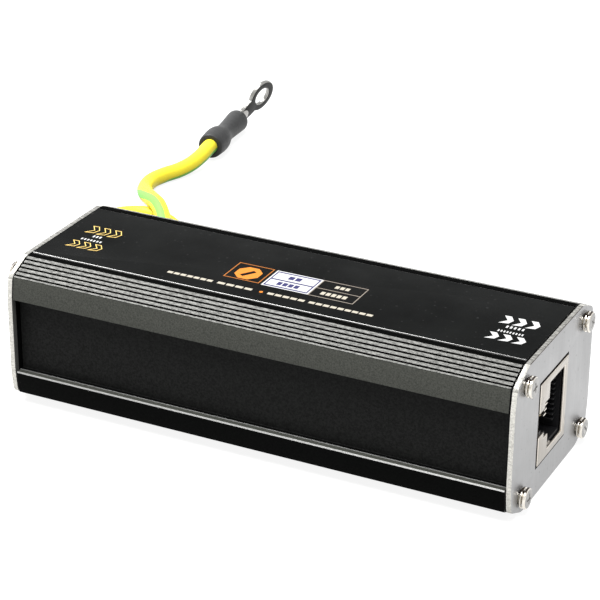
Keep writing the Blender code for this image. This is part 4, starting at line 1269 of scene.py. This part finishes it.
def terminal_place():
    """The sleeve's frame: its origin is the wire's end and +X runs to the ring."""
    return Matrix.Translation(LEAD_ROUTE[-1]) @ turn(TERMINAL_HEADING, "Z") @ turn(TERMINAL_DIP, "Y")


class SURGE_OT_lead(bpy.types.Operator):
    """Build the earth lead with its sleeve, ring terminal and grommet."""

    bl_idname = "surge.lead"
    bl_label = "Earth lead"

    def execute(self, context):
        sizes = context.scene.surge_lead
        path = smooth_path([Vector(point) for point in LEAD_ROUTE])
        wire = self.wire(sizes, path)
        sleeve = self.sleeve(sizes)
        terminal = self.terminal(sizes)
        self.grommet(sizes)
        return {"FINISHED"}

    def wire(self, sizes, path):
        """A round tube along the path, with a UV map that runs round it and along it."""
        frames = path_frames(path)
        bm = bmesh.new()
        start = frames[0] @ turn(90, "Y")
        verts = bmesh.ops.create_circle(bm, segments=24, radius=sizes.wire_radius, matrix=start)["verts"]
        edges, rings = bm.edges[:], [verts]
        for before, after in zip(frames, frames[1:]):
            verts, edges = grow_edges(bm, edges, after @ before.inverted())
            rings.append(verts)
        where = {}
        for i, verts in enumerate(rings):
            inverse, share = frames[i].inverted(), i / (len(rings) - 1)
            for vert in verts:
                local = inverse @ vert.co
                angle = math.atan2(local.y, local.z) / (2 * math.pi)
                where[vert] = (angle - stripe_turn(share) + 0.5, share)
        layer = bm.loops.layers.uv.new("along")
        for face in bm.faces:
            around = [where[loop.vert][0] % 1.0 for loop in face.loops]
            wraps = max(around) - min(around) > 0.5
            for loop, share in zip(face.loops, around):
                loop[layer].uv = (share + 1.0 if wraps and share < 0.5 else share, where[loop.vert][1])
        for verts in (rings[0], rings[-1]):
            cap = [e for e in bm.edges if len(e.link_faces) == 1 and all(v in verts for v in e.verts)]
            bmesh.ops.edgeloop_fill(bm, edges=cap)
        tidy_normals(bm)
        return new_piece(bm, "lead_wire", ("insulation",), ("earth_lead",), angle=50.0)

    def sleeve(self, sizes):
        """The shrunk sleeve, with soft ends and a waist where the wire ends inside it."""
        bore = sizes.wire_radius + 0.05 * MM
        start, length = -sizes.sleeve_over_wire, sizes.sleeve_length
        profile = [(radius * MM, start + share * length) for share, radius in SLEEVE_FORM + SLEEVE_MOUTH]
        profile += [(bore, start + 0.90 * length), (bore, start + 0.2 * MM)]
        bm = spun(profile + [profile[0]], 48)
        place = terminal_place() @ turn(90, "Y")
        return new_piece(bm, "sleeve", ("sleeve",), ("shrink_sleeve",), place, 60.0)

    def terminal(self, sizes):
        """A stamped ring and tongue with rounded edges, and the barrel that flattens into it."""
        turned = terminal_place() @ turn(TERMINAL_TWIST, "X")
        neck_x = sizes.sleeve_length - sizes.sleeve_over_wire + sizes.barrel_out
        flat = turn(RING_TURN, "X")
        bent, half_bent = (turned @ shift(neck_x) @ turn(-bend, "Y") @ flat
                           for bend in (TONGUE_BEND, TONGUE_BEND / 2))
        bm = self.ring(sizes)
        bmesh.ops.transform(bm, matrix=bent, verts=bm.verts[:])
        places = [half_bent] + [bent @ shift(x * MM) for x, _, _ in BARREL_FORM[1:]]
        straight = turned @ shift(neck_x - 1.3 * MM) @ flat
        sections = [(straight, 1.0, 1.0)] + [(place, *form[1:]) for place, form in zip(places, BARREL_FORM)]
        before, last = turned @ shift(0.3 * MM) @ flat, (1.0, 1.0)
        barrel = bmesh.new()
        start = before @ turn(90, "Y")
        bmesh.ops.create_circle(barrel, segments=32, radius=sizes.barrel_radius, cap_ends=True, matrix=start)
        edges = barrel.edges[:]
        for place, across, upright in sections:
            squeeze = Matrix.Diagonal((1.0, across / last[0], upright / last[1], 1.0))
            _, edges = grow_edges(barrel, edges, place @ squeeze @ before.inverted())
            before, last = place, (across, upright)
        bmesh.ops.edgeloop_fill(barrel, edges=edges)
        tidy_normals(barrel)
        add_part(bm, barrel)
        finishes = ("tin", "dull_tin")
        return new_piece(bm, "terminal", finishes, ("ring_terminal",), angle=40.0)

    def ring(self, sizes, steps=44):
        """The flat stamped ring and tongue, with the bend at its origin."""
        half, reach, radius = sizes.tongue_width / 2, sizes.tongue_length, sizes.ring_radius
        opening = math.asin(half / radius)
        side = [(x * MM, share * half) for x, share in TONGUE_FORM]
        edge = [(side[0][0], -side[0][1])] + side
        for i in range(steps + 1):
            angle = math.pi - opening - (2 * math.pi - 2 * opening) * i / steps
            edge.append((reach + radius * math.cos(angle), radius * math.sin(angle)))
        edge += [(x, -y) for x, y in side[:0:-1]]
        bm = bmesh.new()
        fresh_loop(bm, edge, "Z", -sizes.tongue_thickness / 2)
        round_loop(bm, (reach, 0.0), sizes.ring_hole, 40, "Z", -sizes.tongue_thickness / 2)
        raise_flat(bm, (0, 0, sizes.tongue_thickness))
        bevel(bm, rim_edges(bm, 2), sizes.tongue_round, 4)
        # The flat faces take a dark copy of the tin, a painted dark reflection; the rounded edges keep the
        # bright tin
        paint(bm, lambda middle, normal: 1 if abs(normal.z) > 0.93 else 0)
        return bm

    def grommet(self, sizes):
        """A rubber grommet with a rounded flange outside the plate and a lip behind it."""
        outer_face, inner_face = -GROMMET_LOW.x, -GROMMET_HIGH.x
        flange, neck, catch = GROMMET_HIGH.y - GROMMET_CENTRE.y, sizes.grommet_neck, sizes.grommet_catch
        bore, edge, gap = sizes.wire_radius + 0.02 * MM, 0.2 * MM, 0.1 * MM
        over, under = PLATE_HIGH.x + gap, PLATE_LOW.x - gap
        profile = [(bore, outer_face - 0.3 * MM), (bore + 0.3 * MM, outer_face), (flange * 0.72, outer_face),
                   (flange * 0.87, outer_face - edge), (flange * 0.97, PLATE_HIGH.x + 0.5 * MM),
                   (flange, over), (neck, over), (neck, under), (catch, under), (catch, inner_face + edge),
                   (catch - edge, inner_face), (bore, inner_face)]
        bm = spun(profile + [profile[0]], 40)
        place = shift(0, *GROMMET_CENTRE.yz) @ turn(-90, "Y")
        new_piece(bm, "lead_grommet", ("rubber",), ("grommet",), place, 40.0)


# Inner parts and contacts


NODE_FINISHES = {"socket_insert": "moulding", "contact": "gold", "circuit_board": "board",
                 "gas_tube": "ceramic", "signal_core": "moulding", "diode_array": "moulding",
                 "earth_lug": "tin", "earth_tail": "insulation"}


class SURGE_OT_inner_parts(bpy.types.Operator):
    """Give the contacts, the inserts, the board and its parts their finishes."""

    bl_idname = "surge.inner_parts"
    bl_label = "Contacts and inner parts"

    def execute(self, context):
        for node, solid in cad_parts.items():
            for start, name in NODE_FINISHES.items():
                if node.startswith(start):
                    solid.data.materials.clear()
                    solid.data.materials.append(FINISHES[name])
        return {"FINISHED"}


# Stage


def add_lamp(name, place, aim, size, power):
    """A soft lamp of a given width and height that points at a place."""
    lamp = bpy.data.lights.new(name, "AREA")
    lamp.shape = "RECTANGLE"
    lamp.size, lamp.size_y = size
    lamp.energy = power
    holder = bpy.data.objects.new(name, lamp)
    holder.location = place
    holder.rotation_euler = (Vector(aim) - Vector(place)).to_track_quat("-Z", "Y").to_euler()
    bpy.context.scene.collection.objects.link(holder)


def seen_ray(tree):
    """1 for a ray from the camera, a reflection or a clear material, and 0 for the rest."""
    path = tree.nodes.new("ShaderNodeLightPath").outputs
    camera_or_glossy = math_node(tree, "MAXIMUM", path["Is Camera Ray"], path["Is Glossy Ray"])
    return math_node(tree, "MAXIMUM", camera_or_glossy, path["Is Transmission Ray"])


class SURGE_OT_stage(bpy.types.Operator):
    """Set up the floor, the background, the lamps and the camera."""

    bl_idname = "surge.stage"
    bl_label = "Stage"

    def execute(self, context):
        self.floor()
        self.world(context.scene)
        centre = (0.0, 0.0, 0.014)
        add_lamp("overhead_softbox", (-0.36, 0.10, 0.52), centre, (0.42, 0.34), 7.6)
        add_lamp("front_high_lamp", (0.10, -0.24, 0.70), centre, (0.40, 0.30), 5.6)
        self.camera(context.scene)
        context.scene.view_settings.view_transform = "Standard"
        return {"FINISHED"}

    def floor(self):
        bm = bmesh.new()
        bmesh.ops.create_grid(bm, x_segments=1, y_segments=1, size=12.0, matrix=shift(z=-0.02 * MM))
        mesh = bpy.data.meshes.new("floor")
        bm.to_mesh(mesh)
        bm.free()
        material, tree, entries = new_material("pale_floor", 0.9, 0.0, 0.0)
        entries["Base Color"].default_value = (0.22, 0.22, 0.22, 1.0)
        entries["Emission Color"].default_value = (1.0, 1.0, 1.0, 1.0)
        glow = math_node(tree, "MULTIPLY", seen_ray(tree), 0.88)
        tree.links.new(glow, entries["Emission Strength"])
        mesh.materials.append(material)
        floor = bpy.data.objects.new("floor", mesh)
        bpy.context.scene.collection.objects.link(floor)

    def world(self, scene):
        scene.world = bpy.data.worlds.new("soft_studio")
        scene.world.use_nodes = True
        tree = scene.world.node_tree
        background = tree.nodes["Background"]
        background.inputs["Color"].default_value = (1.0, 1.0, 1.0, 1.0)
        strength = math_node(tree, "MULTIPLY_ADD", seen_ray(tree), 0.6, 0.4)
        tree.links.new(strength, background.inputs["Strength"])

    def camera(self, scene):
        data = bpy.data.cameras.new("camera")
        data.lens = LENS_MM
        data.sensor_width = SENSOR_MM
        data.clip_start = 0.01
        scene.camera = bpy.data.objects.new("camera", data)
        right, up = CAMERA_RIGHT.normalized(), CAMERA_UP.normalized()
        back = right.cross(up).normalized()
        axes = Matrix((right, back.cross(right), back)).transposed().to_4x4()
        scene.camera.matrix_world = Matrix.Translation(CAMERA_PLACE) @ axes
        scene.collection.objects.link(scene.camera)


class SURGE_PT_panel(bpy.types.Panel):
    """Lists the pieces of the surge protector."""

    bl_idname = "SURGE_PT_panel"
    bl_label = "Surge Protector"
    bl_space_type = "VIEW_3D"
    bl_region_type = "UI"
    bl_category = "Surge Protector"

    def draw(self, context):
        for operator in OPERATORS:
            self.layout.operator(operator.bl_idname)
        for name, group in GROUPS:
            for entry in group.__annotations__:
                self.layout.prop(getattr(context.scene, name), entry)


OPERATORS = (SURGE_OT_body, SURGE_OT_name_plate, SURGE_OT_marks, SURGE_OT_end_plates, SURGE_OT_fasteners,
             SURGE_OT_sockets, SURGE_OT_lead, SURGE_OT_inner_parts, SURGE_OT_stage)
GROUPS = (("surge_body", BodySizes), ("surge_fasteners", FastenerSizes), ("surge_sockets", SocketSizes),
          ("surge_lead", LeadSizes), ("surge_colours", FinishColours))


def register():
    for name, group in GROUPS:
        bpy.utils.register_class(group)
        setattr(bpy.types.Scene, name, bpy.props.PointerProperty(type=group))
    for item in (*OPERATORS, SURGE_PT_panel):
        bpy.utils.register_class(item)


def unregister():
    for item in (*reversed(OPERATORS), SURGE_PT_panel):
        bpy.utils.unregister_class(item)
    for name, group in reversed(GROUPS):
        delattr(bpy.types.Scene, name)
        bpy.utils.unregister_class(group)


def main():
    register()
    make_materials()
    bpy.ops.surge.stage()
    bpy.ops.surge.lead()
    bpy.ops.surge.body()
    bpy.ops.surge.name_plate()
    bpy.ops.surge.marks()
    bpy.ops.surge.end_plates()
    bpy.ops.surge.fasteners()
    bpy.ops.surge.sockets()
    bpy.ops.surge.inner_parts()


if __name__ == "__main__":
    main()
